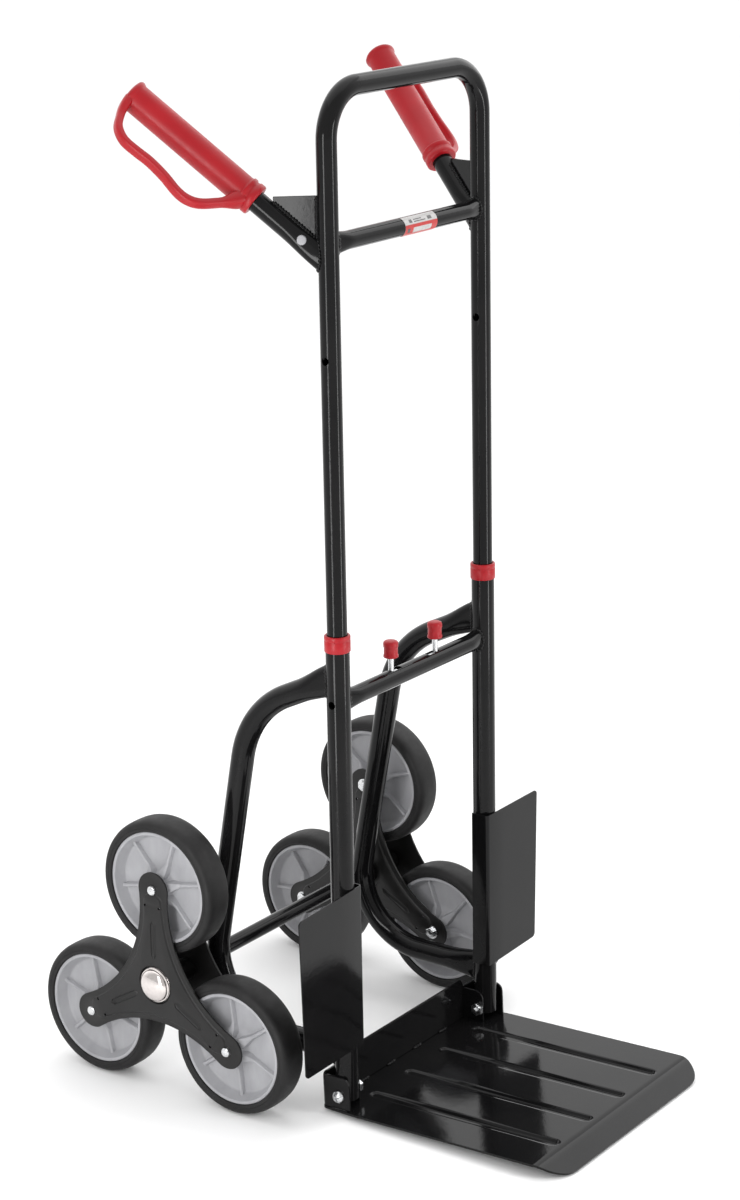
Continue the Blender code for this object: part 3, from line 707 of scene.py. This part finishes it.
def gusset(side, word):
    near = TUBE_R + 0.0001
    rise = tan(GRIP_RISE)
    top = span(f"gusset_{word}", 2)[1]
    seat = STUB_Z + STUB_R / cos(GRIP_RISE)
    reach = 0.055
    outline = [(near, top), (near, seat + near * rise), (reach, seat + reach * rise), (reach, top - 0.002)]
    turn = Matrix.Rotation(pi / 2 - side * GRIP_SPLAY, 4, "Z") @ Matrix.Rotation(pi / 2, 4, "X")
    place = post_frame(side) @ turn
    shape = bmesh.new()
    add_solid(shape, outline, -SHEET / 2, SHEET / 2, place)
    piece = bevelled(new_object(f"fine_gusset_{word}", shape, GLOSS), 0.0006)
    add_piece(piece, "handle", f"gusset_{word}")
    welds = bmesh.new()
    across = place.to_3x3() @ Vector((0, 0, 1))
    for face in (-1, 1):
        lift = face * (SHEET / 2 + 0.0006)
        for a, b in ((outline[0], outline[1]), (outline[1], outline[2])):
            ends = [place @ Vector((x, y, lift)) for x, y in (a, b)]
            add_bead(welds, ends, 0.0020, across)
    add_piece(weld_object(f"gusset_weld_{word}", welds), "handle")


GUARD = ((0.0100, 0.252), (0.020, 0.250), (0.031, 0.246), (0.044, 0.239), (0.052, 0.226), (0.0525, 0.210),
         (0.0515, 0.194), (0.0535, 0.174), (0.058, 0.154), (0.057, 0.141), (0.050, 0.130), (0.0335, 0.118),
         (0.021, 0.111), (0.0100, 0.106))


def grip(side, word):
    """Red sleeve with two rings, a domed end and a guard strap that flares into it."""
    place = grip_frame(side)
    start, end = GRIP_START, GRIP_END
    bore = STUB_R + 0.0001
    profile = [(0, end), (0.0070, end - 0.0002), (0.0125, end - 0.0010), (0.0155, end - 0.0022),
               (GRIP_RING_R, end - 0.0040), (GRIP_RING_R, end - 0.0058), (0.0160, end - 0.0074),
               (GRIP_R, end - 0.0092), (GRIP_R, start + 0.0165), (0.0155, start + 0.0154),
               (GRIP_RING_R, start + 0.0142), (GRIP_RING_R, start + 0.0112), (0.0156, start + 0.0100),
               (0.0154, start + 0.0088), (0.0158, start + 0.0076), (GRIP_RING_R, start + 0.0064),
               (GRIP_RING_R, start + 0.0014), (0.0160, start + 0.0003), (0.0150, start), (bore, start),
               (bore, end - 0.006), (0, end - 0.006)]
    shape = bmesh.new()
    add_lathe(shape, profile, place)
    path = curved([place @ Vector((reach, 0, height)) for reach, height in GUARD], 6)
    whole = length_of(path)

    def size_at(way):
        tip = 1.0 - smoothstep(way / 0.024)
        root = 1.0 - smoothstep((whole - way) / 0.026)
        return 0.0040 + 0.0012 * tip + 0.0045 * root, 0.0056 + 0.0050 * tip + 0.0040 * root, 3.2

    add_loft(shape, sweep_rings(path, place.to_3x3() @ Vector((0, 1, 0)), size_at, 32))
    limit = outer(f"grip_{word}", 0)
    base = limit - 0.020
    share = (limit - base) / (max(abs(point.co.x) for point in shape.verts) - base)
    for point in shape.verts:
        if abs(point.co.x) > base:
            point.co.x = side * (base + (abs(point.co.x) - base) * share)
    add_piece(new_object(f"fine_grip_{word}", shape, RED, 45.0), "handle", f"grip_{word}")


# ---- lock
def lock(side, word):
    body = f"lock_{word}"
    pin_x = middle(f"lock_knob_{word}").x
    low, high = span(f"lock_knob_{word}", 2)
    reach = outer(f"lock_rod_{word}", 0)
    slug = LOCK_R - 0.0018
    shape = bmesh.new()
    profile = [(0, reach), (0.0030, reach), (0.0036, reach - 0.001), (0.0036, 0.052), (slug, 0.0515),
               (slug, 0.0305),
               (slug - 0.0005, 0.030), (0, 0.030)]
    add_lathe(shape, profile, along_x(side, 0, POST_Y, LOCK_Z))
    stem = [(0, high - 0.006), (0.003, high - 0.006), (0.003, LOCK_Z), (0, LOCK_Z)]
    add_lathe(shape, stem, Matrix.Translation(at(pin_x, 0, 0)), 32)
    add_piece(new_object(f"fine_lock_rod_{word}", shape, ZINC), body, f"lock_rod_{word}")
    r = half_span(f"lock_knob_{word}", 0)
    knob = [(0, high), (r * 0.5, high - 0.0001), (r - 0.0020, high - 0.0005), (r - 0.0007, high - 0.0013),
            (r, high - 0.0028), (r, high - 0.0065), (r - 0.0006, high - 0.0075), (r - 0.0006, low + 0.0035),
            (r, low + 0.0025), (r, low + 0.0006), (r - 0.0006, low), (0.0033, low), (0.0033, high - 0.0070),
            (0, high - 0.0070)]
    piece = lathe(f"fine_lock_knob_{word}", knob, RED, Matrix.Translation(at(pin_x, 0, 0)), angle=45.0)
    add_piece(piece, body, f"lock_knob_{word}")


# ---- loops, axle and wings
def rear_loop(side, word):
    x = side * TRACK
    corners = [at(x, POST_R * 0.55, LOOP_TOP_Z), at(x, *LOOP_UPPER), at(x, *LOOP_LOWER),
               at(x, POST_R * 0.55, LOOP_LOWER[1])]
    path = spaced(rounded_path(corners, [0.110, 0.080], 0.003), 0.006)
    whole = length_of(path)
    tall, thin = 0.0165, 0.0085
    shape = bmesh.new()
    add_tube(shape, path, Vector((1, 0, 0)), pressed_ends(whole, POST_R, tall, thin, 0.045), WALL, ROUND)
    piece = new_object(f"fine_rear_loop_{word}", shape, GLOSS)
    cope(piece, side)
    add_piece(piece, "frame", f"rear_loop_{word}")
    welds = bmesh.new()
    for first, second in ((path[0], path[1]), (path[-1], path[-2])):
        add_end_weld(welds, first, (second - first).normalized(), tall, thin, x, POST_R, 0.0019)
    for level in (-1, 1):
        saddle = []
        for step in range(13):
            off = 0.011 * (step / 6 - 1)
            saddle.append(Vector((x + off, HUB.y - AXLE_R + 0.0026 - 6.0 * off * off,
                                  HUB.z + level * 0.0062)))
        add_bead(welds, saddle, 0.0020, Vector((0, 0, 1)))
    add_piece(weld_object(f"loop_welds_{word}", welds), "frame")


def axle():
    half = outer("axle", 0)
    inner = AXLE_R - WALL
    profile = [(AXLE_R, half), (AXLE_R, -half), (inner, -half), (inner, half)]
    piece = lathe("fine_axle", profile, GLOSS, along_x(1, 0, HUB.y, HUB.z))
    add_piece(piece, "frame", "axle")


# outer edge of each wing: x at the top, x at the bottom, height of its top and bottom corners
WING_EDGE = {"left": (0.2280, 0.2225, 0.2525, 0.0745), "right": (0.2200, 0.2150, 0.2575, 0.0790)}


def wing(side, word):
    low, high = span(f"wing_plate_{word}", 2)
    inner = min(abs(value) for value in span(f"wing_plate_{word}", 0))
    front = span(f"wing_plate_{word}", 1)[0] - POST_Y
    back = span(f"wing_plate_{word}", 1)[1] - POST_Y
    skin = 0.0015
    bend = 0.0030
    edge_top, edge_low, z_top, z_low = WING_EDGE[word]
    corner = 0.005
    flat = inner + skin / 2 + bend
    depth = front + skin / 2
    shares = [k / 8 for k in range(9)]
    grid = []
    for turn in range(0, 91, 15):
        inset = corner * (1 - sin(radians(turn)))
        back_off = corner * (1 - cos(radians(turn)))
        points = []
        for share in shares:
            height = (z_low + inset) + (z_top - z_low - 2 * inset) * share
            x = edge_low + (edge_top - edge_low) * (height - z_low) / (z_top - z_low) - back_off
            points.append(at(side * x, depth, height))
        grid.append(points)
    for part in (0.66, 0.33, 0.0):
        points = []
        for share in shares:
            top = high + (z_top - high) * part
            bottom = low + (z_low - low) * part
            height = bottom + (top - bottom) * share
            edge = edge_low + (edge_top - edge_low) * share - corner
            points.append(at(side * (flat + (edge - flat) * part), depth, height))
        grid.append(points)
    for turn in range(15, 91, 15):
        x = flat - bend * sin(radians(turn))
        y = depth + bend * (1 - cos(radians(turn)))
        grid.append([at(side * x, y, low + (high - low) * share) for share in shares])
    grid.append([at(side * (flat - bend), back, low + (high - low) * share) for share in shares])
    add_piece(panel(f"fine_wing_{word}", grid, skin, GLOSS, 0.0003), "frame", f"wing_plate_{word}")
    welds = bmesh.new()
    for start in (low + 0.006, low + 0.080, high - 0.026):
        ends = [at(side * (TRACK + 0.0072), -POST_R + 0.0018, height) for height in (start, start + 0.02)]
        add_bead(welds, ends, 0.0016, Vector((1, 0, 0)))
    add_piece(weld_object(f"wing_welds_{word}", welds), "frame")


# ---- folding toe
TOE = Matrix.Translation(HINGE) @ Matrix.Rotation(-TOE_TILT, 4, "X")
GROOVES = (-0.098, -0.033, 0.033, 0.098)
GROOVE_Y = (-0.012, -0.237)
REAR_CORNER = 0.007
REAR_HALF = 0.1495
SHOULDER = 0.045


def groove_drop(x, y):
    near = min(abs(x - centre) for centre in GROOVES)
    past = max(0.0, y - GROOVE_Y[0], GROOVE_Y[1] - y)
    away = (near * near + past * past) ** 0.5
    taper = 0.55 + 0.45 * smoothstep((GROOVE_Y[0] - y) / 0.10)
    return 0.0032 * taper * (1.0 - smoothstep((away - 0.0042) / 0.0034))


def toe_drop(y):
    """How far the plate has bent down at y, past the crease."""
    lip = (HINGE.z - 0.0003 + abs(TOE_FRONT) * sin(TOE_TILT)) / cos(TOE_TILT)
    slope = (lip + PLATE_TOP - SHEET) / (TOE_CREASE - TOE_FRONT)
    past = TOE_CREASE - y
    ease = 0.006
    if past < -ease:
        return 0.0
    if past > ease:
        return slope * past
    return slope * (past + ease) ** 2 / (4 * ease)


def toe_plate():
    columns = []
    x = -TOE_HALF
    while x < TOE_HALF - 0.0001:
        columns.append(x)
        near = min(abs(x - centre) for centre in GROOVES)
        x += 0.0010 if near < 0.0105 else 0.0025
    columns.append(TOE_HALF)
    ys = []
    y = TOE_REAR
    while y > TOE_FRONT + 0.0001:
        ys.append(y)
        fine = (y > TOE_REAR - REAR_CORNER or y < TOE_CREASE + 0.01
                or min(abs(y - end) for end in GROOVE_Y) < 0.011)
        y -= 0.0010 if fine else 0.0050
    ys.append(TOE_FRONT)
    steady = 0.112
    rows = []
    for y in ys:
        half = TOE_HALF
        deep = TOE_FRONT + TOE_CORNER - y
        if deep > 0:
            half = TOE_HALF - TOE_CORNER + (TOE_CORNER ** 2 - min(deep, TOE_CORNER) ** 2) ** 0.5
        behind = y - TOE_REAR + REAR_CORNER
        if behind > 0:
            half = REAR_HALF - REAR_CORNER + (REAR_CORNER ** 2 - min(behind, REAR_CORNER) ** 2) ** 0.5
        elif y > TOE_REAR - SHOULDER:
            past = TOE_REAR - REAR_CORNER - y
            half = REAR_HALF + (TOE_HALF - REAR_HALF) * past / (SHOULDER - REAR_CORNER)
        row = []
        for x in columns:
            spread = x
            if abs(x) > steady:
                wide = steady + (abs(x) - steady) * (half - steady) / (TOE_HALF - steady)
                spread = wide if x > 0 else -wide
            height = PLATE_TOP - SHEET / 2 - groove_drop(spread, y) - toe_drop(y)
            row.append(TOE @ Vector((spread, y, height)))
        rows.append(row)
    add_piece(panel("fine_toe_plate", rows, SHEET, GLOSS, 0.0007), "toe", "toe_plate")


EAR_X = 0.1463
WALL_Y = 0.0205
EAR_FRONT = -0.0140
SIDE_TOP = 0.0225
MID_TOP = 0.0317
MID_HALF = 0.117


def toe_channel():
    """Rear wall and outer ears, bent from one strip."""
    low = PLATE_TOP + 0.0002
    half = EAR_X + SHEET / 2
    back = WALL_Y + SHEET / 2
    corners = [Vector((-half, EAR_FRONT, 0)), Vector((-half, back, 0)), Vector((half, back, 0)),
               Vector((half, EAR_FRONT, 0))]
    path = spaced(rounded_path(corners, [0.005, 0.005], 0.001), 0.0012)
    rows = []
    for point in path:
        top = SIDE_TOP
        ahead = point.y - EAR_FRONT
        radius = 0.009
        if abs(point.x) > half - 0.001 and ahead < radius:
            top -= radius - max(0.0, radius ** 2 - (radius - ahead) ** 2) ** 0.5
        corner = max(abs(abs(point.x) - half), abs(point.y - back))
        top -= 0.0040 * (1.0 - smoothstep(corner / 0.0065))
        top += (MID_TOP - SIDE_TOP) * (1.0 - smoothstep((abs(point.x) - MID_HALF + 0.002) / 0.006))
        rows.append([TOE @ Vector((point.x, point.y, low + (top - low) * k / 4)) for k in range(5)])
    add_piece(panel("fine_toe_channel", rows, SHEET, GLOSS, 0.0006), "toe", "toe_channel")
    welds = bmesh.new()
    for x in (-0.128, -0.075, -0.025, 0.025, 0.075, 0.128):
        ends = [TOE @ Vector((x + step, WALL_Y - 0.0004, PLATE_TOP + 0.0007)) for step in (-0.008, 0.008)]
        add_bead(welds, ends, 0.0019, Vector((0, 0, 1)))
    for side in (-1, 1):
        ends = [TOE @ Vector((side * (EAR_X + SHEET), y, PLATE_TOP + 0.0003)) for y in (-0.010, 0.012)]
        add_bead(welds, ends, 0.0013, Vector((0, 0, 1)))
    add_piece(weld_object("toe_welds", welds), "toe")


def toe_ear(word):
    low = PLATE_TOP
    top, front, rear = 0.0215, -0.0060, WALL_Y + 0.001
    outline = [(rear, low), (rear, top - 0.003)]
    outline += arc((rear - 0.003, top - 0.003), 0.003, 0.0, 90.0, 6)[1:]
    outline += arc((front + 0.009, top - 0.009), 0.009, 90.0, 180.0, 12) + [(front, low)]
    ends = sorted(span(f"toe_ear_{word}", 0))
    shape = bmesh.new()
    add_solid(shape, outline, ends[0], ends[1], TOE @ upright(1))
    piece = bevelled(new_object(f"fine_toe_ear_{word}", shape, GLOSS), 0.0006)
    add_piece(piece, "toe", f"toe_ear_{word}")


def thread(reach, low, high, pitch=0.001):
    """Outline of a threaded stretch, from its high end to its low end."""
    points = []
    height = high
    while height > low:
        points += [(reach, height), (reach - 0.00045, height - pitch / 2)]
        height -= pitch
    return points


def hinge_hardware(side, word):
    seat = min(abs(value) for value in span(f"toe_ear_{word}", 0))
    head = EAR_X + SHEET + 0.0002
    place = along_x(side, 0, HINGE.y, HINGE.z)
    profile = [(0, head + 0.0052), (0.0020, head + 0.0051), (0.0042, head + 0.0044),
               (0.0058, head + 0.0032),
               (0.0068, head + 0.0016), (0.0070, head + 0.0010), (0.0070, head), (0.0030, head)]
    profile += [(0.0030, 0.1140)] + thread(0.0030, 0.1095, 0.1140) + [(0, 0.1090)]
    shape = bmesh.new()
    add_lathe(shape, profile, place, 48)
    piece = new_object(f"fine_hinge_bolt_{word}", shape, ZINC)
    for turn in (20.0, 110.0):
        bar = bmesh.new()
        half, wide = 0.0040, 0.0007
        outline = [(-half, -wide), (half, -wide), (half, wide), (-half, wide)]
        add_solid(bar, outline, head + 0.0030, head + 0.0080, place @ Matrix.Rotation(radians(turn), 4,
                                                                                      "Z"))
        cut(piece, new_object("cross_cutter", bar, INK_DARK))
    add_piece(piece, "frame", f"hinge_bolt_{word}")
    nut = bmesh.new()
    top = seat - 0.0002
    flat = 0.0065 / cos(pi / 6)
    profile = [(flat, top - 0.0004), (flat, top - 0.0044), (flat - 0.0009, top - 0.0050),
               (0.0034, top - 0.0050),
               (0.0034, top), (flat - 0.0007, top)]
    add_lathe(nut, profile, place, 6)
    add_piece(new_object(f"fine_hinge_nut_{word}", nut, ZINC, 20.0), "frame", f"hinge_nut_{word}")


# ---- spiders and wheels
def star(inset, tip_place, steps=10):
    """Outline of the three-armed plate, moved inward; tip_place is how far out the arm ends are centred."""
    top = SPIDER_R ** 2 - WAIST_R * SPIDER_R + WAIST_R ** 2 - ARM_END_R ** 2
    hollow = top / (SPIDER_R + 2 * ARM_END_R - 2 * WAIST_R)
    pit_place = WAIST_R + hollow
    tip = (tip_place ** 2 + pit_place ** 2 - tip_place * pit_place) ** 0.5 - hollow - inset
    outline = []
    for angle in sorted(ARMS.values()):
        turn = radians(angle)
        arm = Vector((cos(turn), sin(turn))) * tip_place
        pit = Vector((cos(turn + pi / 3), sin(turn + pi / 3))) * pit_place
        reach = pit - arm
        meet = degrees(atan2(reach.y, reach.x)) % 360.0
        spread = (meet - angle) % 360.0
        outline += arc(arm, tip, angle - spread, angle + spread, 2 * steps)
        outline += arc(pit, hollow + inset, meet + 180.0, meet + 180.0 + 2.0 * (60.0 - spread),
                       3 * steps)[1:-1]
    return outline


def star_plate(side, word, kind, body):
    """Pressed three-armed plate: a flat rim with a raised middle, grooved along each arm."""
    node = f"spider_{kind}_{word}"
    ends = sorted(abs(value) for value in span(node, 0))
    low, high, push = (ends[0], ends[1], 1) if kind == "outer" else (ends[1], ends[0], -1)
    rise = 0.0024 * push
    ease = 0.0005 * push
    land = SPIDER_R - 0.0150
    place = upright(side, 0, HUB.y, HUB.z)
    layers = [(star(0.0085, land), low + rise), (star(0.0068, land), low), (star(0.0004, SPIDER_R), low),
              (star(0.0, SPIDER_R), low + ease), (star(0.0, SPIDER_R), high - ease),
              (star(0.0004, SPIDER_R), high),
              (star(0.0058, land), high), (star(0.0066, land), high + rise * 0.15),
              (star(0.0078, land), high + rise * 0.85), (star(0.0088, land), high + rise)]
    shape = bmesh.new()
    add_loft(shape, [[place @ Vector((y, z, x)) for y, z in outline] for outline, x in layers])
    piece = new_object(f"fine_{node}", shape, SATIN)
    for angle in ARMS.values():
        turn = Matrix.Rotation(radians(angle), 4, "Z")
        path = spaced([place @ turn @ Vector((r, 0, high + rise)) for r in (0.029, 0.074)], 0.002)
        whole = length_of(path)
        across = (place @ turn).to_3x3() @ Vector((0, 1, 0))

        def size_at(way):
            blend = smoothstep(min(way, whole - way) / 0.005) * 0.9 + 0.1
            return 0.0019 * blend, 0.0036 * blend, 2.0
        cut(piece, sweep("groove_cutter", path, across, size_at, INK_DARK, 20))
        for along, off in ((0.0905, 0.0095), (0.0905, -0.0095)):
            dent = place @ turn @ Vector((along, off, high + rise))
            outward = (place @ turn).to_3x3() @ Vector((0, 0, push))
            drill(piece, 0.0016, dent - outward * 0.0010, outward, 0.004)
    well = [(0, high + 0.01 * push), (0.0260, high + 0.01 * push), (0.0206, high), (0, high)]
    cut(piece, lathe("well_cutter", well, INK_DARK, place))
    bore = 0.0088 if kind == "outer" else 0.0128
    drill(piece, bore, place @ Vector((0, 0, low - 0.01 * push)), place.to_3x3() @ Vector((0, 0, push)),
          0.03)
    add_piece(piece, body, node)


def spider_hub(side, word, body):
    ends = sorted(abs(value) for value in span(f"spider_hub_{word}", 0))
    bore = AXLE_R + 0.0003
    seat = ends[0] + 0.0087
    profile = [(0.0125, ends[1]), (0.0125, seat), (0.0145, seat), (0.0150, seat - 0.0005),
               (0.0150, ends[0] + 0.0006),
               (0.0144, ends[0]), (bore, ends[0]), (bore, ends[1])]
    piece = lathe(f"fine_spider_hub_{word}", profile, SATIN, along_x(side, 0, HUB.y, HUB.z))
    add_piece(piece, body, f"spider_hub_{word}")


def axle_cap(side, word):
    """Domed push-on cap with a stepped rim."""
    seat, top = sorted(abs(value) for value in span(f"axle_cap_{word}", 0))
    reach = half_span(f"axle_cap_{word}", 2)
    tall = top - seat
    profile = [(0, top)]
    for step in range(1, 15):
        turn = radians(6.0 * step)
        profile.append(((reach - 0.0016) * sin(turn), seat + 0.0036 + (tall - 0.0036) * cos(turn)))
    profile += [(reach - 0.0016, seat + 0.0036), (reach - 0.0012, seat + 0.0030),
                (reach - 0.0003, seat + 0.0028),
                (reach, seat + 0.0024), (reach, seat + 0.0016), (reach - 0.0006, seat + 0.0013),
                (reach - 0.0006, seat + 0.0010), (reach, seat + 0.0007), (reach, seat + 0.0001),
                (0.0088, seat),
                (0.0088, seat + 0.0060), (0, seat + 0.0062)]
    piece = lathe(f"fine_axle_cap_{word}", profile, CHROME, along_x(side, 0, HUB.y, HUB.z), 96)
    add_piece(piece, "frame", f"axle_cap_{word}")


def wheel_bolt(side, word, arm, body):
    node = f"wheel_bolt_{word}_{arm}"
    ends = sorted(abs(value) for value in span(node, 0))
    head = ends[1] - 0.0040
    y, z = middle(node).y, middle(node).z
    place = along_x(side, 0, y, z)
    shape = bmesh.new()
    profile = [(0, ends[1]), (0.0022, ends[1] - 0.0001), (0.0040, head + 0.0034), (0.0050, head + 0.0025),
               (0.0054, head + 0.0014), (0.0054, head), (0.0040, head), (0.0040, ends[0] + 0.005)]
    profile += thread(0.0038, ends[0], ends[0] + 0.005) + [(0, ends[0])]
    add_lathe(shape, profile, place, 40)
    top = ends[0] + 0.005
    flat = 0.0066
    hexagon = [(flat, top - 0.0004), (flat, ends[0] + 0.0013), (flat - 0.0008, ends[0] + 0.0007),
               (0.0040, ends[0] + 0.0007),
               (0.0040, top), (flat - 0.0006, top)]
    add_lathe(shape, hexagon, place, 6)
    washer = [(0.0078, top + 0.0001), (0.0078, top - 0.0008), (0.0042, top - 0.0008),
              (0.0042, top + 0.0001)]
    add_lathe(shape, washer, place, 40)
    add_piece(new_object(f"fine_{node}", shape, ZINC, 25.0), body, node)


# how far each wheel has turned: angle of its first rib
RIB_TURN = {"left_top": 48.0, "left_front": 24.0, "left_rear": 18.0,
            "right_top": 40.0, "right_front": 10.0, "right_rear": 55.0}


def rim(side, word, arm):
    node = f"rim_{word}_{arm}"
    y, z = middle(node).y, middle(node).z
    near, far = (value - WHEEL_X for value in sorted(abs(value) for value in span(node, 0)))
    edge, web = 0.0160, 0.0030
    reach = half_span(node, 2)
    face = [(0.0118, 1.0), (0.0126, 0.94), (0.0145, 0.52), (0.0175, 0.22), (0.0215, 0.06), (0.0260, 0.0)]
    front = [(r, web + (far - web) * share) for r, share in face]
    back = [(r, -web + (near + web) * share) for r, share in face]
    well = [(0.0520, web), (0.0534, web + 0.0005), (0.0542, web + 0.0016), (0.0585, edge - 0.0014),
            (0.0588, edge - 0.0004), (0.0593, edge), (0.0614, edge), (0.0622, edge - 0.0004),
            (reach, edge - 0.0012)]
    outline = front + well + [(r, -height) for r, height in well[::-1]] + back[::-1] + [(0.0043, near),
                                                                                        (0.0043, far)]
    place = along_x(side, side * WHEEL_X, y, z)
    shape = bmesh.new()
    add_lathe(shape, outline, place, 96)
    wheel = upright(side, side * WHEEL_X, y, z)
    for turn in range(6):
        spoke = wheel @ Matrix.Rotation(radians(RIB_TURN[f"{word}_{arm}"] + 60.0 * turn), 4, "Z")
        for face_side, crown in ((1, far), (-1, -near)):
            rings = []
            for step in range(23):
                r = 0.0125 + (0.0560 - 0.0125) * step / 22
                flare = (1.0 - smoothstep((r - 0.0125) / 0.016))
                half = 0.0018 + 0.0036 * flare
                top = web + 0.0052 + (crown - web - 0.0067) * 0.85 * flare
                ends = 1.0 + 0.25 * smoothstep((r - 0.050) / 0.006)
                ring = [(half * 1.9, web - 0.001), (half * 1.35, web + 0.0006), (half * ends, top - 0.0009),
                        (half * 0.55, top - 0.0002), (0, top), (-half * 0.55, top - 0.0002),
                        (-half * ends, top - 0.0009), (-half * 1.35, web + 0.0006),
                        (-half * 1.9, web - 0.001)]
                rings.append([spoke @ Vector((r, off, face_side * height)) for off, height in ring])
            add_loft(shape, rings)
    add_piece(new_object(f"fine_{node}", shape, GREY, 40.0), f"wheel_{word}_{arm}", node)


def tyre(side, word, arm):
    node = f"tyre_{word}_{arm}"
    y, z = middle(node).y, middle(node).z
    half = half_span(node, 0)
    seat = 0.0628
    face = [(seat, half - 0.0012), (seat + 0.0006, half - 0.0003), (0.0650, half), (0.0664, half),
            (0.0667, half - 0.0003),
            (0.0670, half), (0.0700, half - 0.0003), (0.0718, half - 0.0012), (0.0733, half - 0.0030),
            (0.0743, half - 0.0056), (0.0748, half - 0.0088), (WHEEL_R, half - 0.0130), (WHEEL_R, 0.0003)]
    profile = face + [(r, -height) for r, height in face[::-1]]
    piece = lathe(f"fine_{node}", profile, RUBBER, along_x(side, side * WHEEL_X, y, z), 120)
    add_piece(piece, f"wheel_{word}_{arm}", node)


# ---- studio
FLOOR_SIZE = 60.0
DOME_R = 28.0


def backdrop():
    """A plain white dome that only the camera sees, so no horizon shows from any side."""
    paint = bpy.data.materials.new("backdrop_paint")
    paint.use_nodes = True
    tree = paint.node_tree
    tree.nodes.clear()
    glow = tree.nodes.new("ShaderNodeEmission")
    end = tree.nodes.new("ShaderNodeOutputMaterial")
    tree.links.new(glow.outputs["Emission"], end.inputs["Surface"])
    paint.cycles.emission_sampling = "NONE"
    bpy.ops.mesh.primitive_uv_sphere_add(segments=64, ring_count=32, radius=DOME_R)
    dome = bpy.context.object
    dome.name = "studio_backdrop"
    dome.data.materials.append(paint)
    for ray in ("diffuse", "glossy", "transmission", "volume_scatter", "shadow"):
        setattr(dome, f"visible_{ray}", False)


def studio():
    backdrop()
    bpy.ops.mesh.primitive_plane_add(size=FLOOR_SIZE, location=(0, 0, -0.0005))
    ground = bpy.context.object
    ground.name = "studio_floor"
    ground.data.materials.append(floor_paint())
    world = bpy.data.worlds.new("studio")
    world.use_nodes = True
    bpy.context.scene.world = world
    tree = world.node_tree
    shade = tree.nodes["Background"]
    coords = tree.nodes.new("ShaderNodeTexCoord")
    facing = tree.nodes.new("ShaderNodeVectorMath")
    facing.operation = "DOT_PRODUCT"
    facing.inputs[1].default_value = (0.72, 0.53, 0.45)
    tree.links.new(coords.outputs["Generated"], facing.inputs[0])
    ramp = tree.nodes.new("ShaderNodeValToRGB")
    ramp.color_ramp.elements[0].position = 0.0
    ramp.color_ramp.elements[0].color = (0.50, 0.50, 0.50, 1)
    ramp.color_ramp.elements[1].position = 0.45
    ramp.color_ramp.elements[1].color = (1.0, 1.0, 1.0, 1)
    tree.links.new(facing.outputs["Value"], ramp.inputs["Fac"])
    tree.links.new(ramp.outputs["Color"], shade.inputs["Color"])
    shade.inputs["Strength"].default_value = 1.45
    for name, place, target, size, power in (
            ("over", (0.3, 0.4, 3.0), (0, 0, 0.4), (3.0, 3.0), 14.0),
            ("side", (2.6, -0.5, 2.1), (0.1, -0.3, 0.0), (2.0, 2.0), 16.0),
            ("near_strip", (-1.13, -0.06, 0.60), (0, 0, 0.60), (0.20, 1.16), 7.5),
            ("far_strip", (0.18, -1.30, 0.60), (0, 0, 0.60), (0.18, 1.16), 7.0)):
        light = bpy.data.lights.new(name, "AREA")
        light.shape = "RECTANGLE"
        light.size, light.size_y = size
        light.energy = power
        lamp = bpy.data.objects.new(name, light)
        bpy.context.scene.collection.objects.link(lamp)
        lamp.location = place
        lamp.visible_camera = False
        aim = Vector(target) - Vector(place)
        lamp.rotation_euler = aim.to_track_quat("-Z", "Y").to_euler()


def camera():
    """The viewing angle and field of view that match the picture."""
    data = bpy.data.cameras.new("view")
    data.sensor_width = 36.0
    data.lens = 85.30
    data.clip_end = 100.0
    eye = bpy.data.objects.new("view", data)
    bpy.context.scene.collection.objects.link(eye)
    turn = Matrix(((0.58618, 0.24183, -0.77325), (-0.80998, 0.15385, -0.56591),
                   (-0.01789, 0.95804, 0.28607)))
    eye.matrix_world = Matrix.Translation((-2.34499, -1.70142, 1.39484)) @ turn.to_4x4()
    bpy.context.scene.camera = eye
    bpy.context.scene.view_settings.view_transform = "Standard"


def build():
    handle_tube()
    cross_bar("fine_handle_crossbar", "handle", "handle_crossbar", CROSS_R, CROSS_Z, TUBE_R)
    lock_bar()
    label()
    axle()
    toe_plate()
    toe_channel()
    for word, side in SIDES.items():
        post(side, word)
        collar(side, word)
        stub(side, word)
        gusset(side, word)
        grip(side, word)
        lock(side, word)
        rear_loop(side, word)
        wing(side, word)
        toe_ear(word)
        hinge_hardware(side, word)
        axle_cap(side, word)
        body = f"spider_{word}"
        star_plate(side, word, "outer", body)
        star_plate(side, word, "inner", body)
        spider_hub(side, word, body)
        for arm in ARMS:
            wheel_bolt(side, word, arm, body)
            rim(side, word, arm)
            tyre(side, word, arm)


build()
studio()
camera()
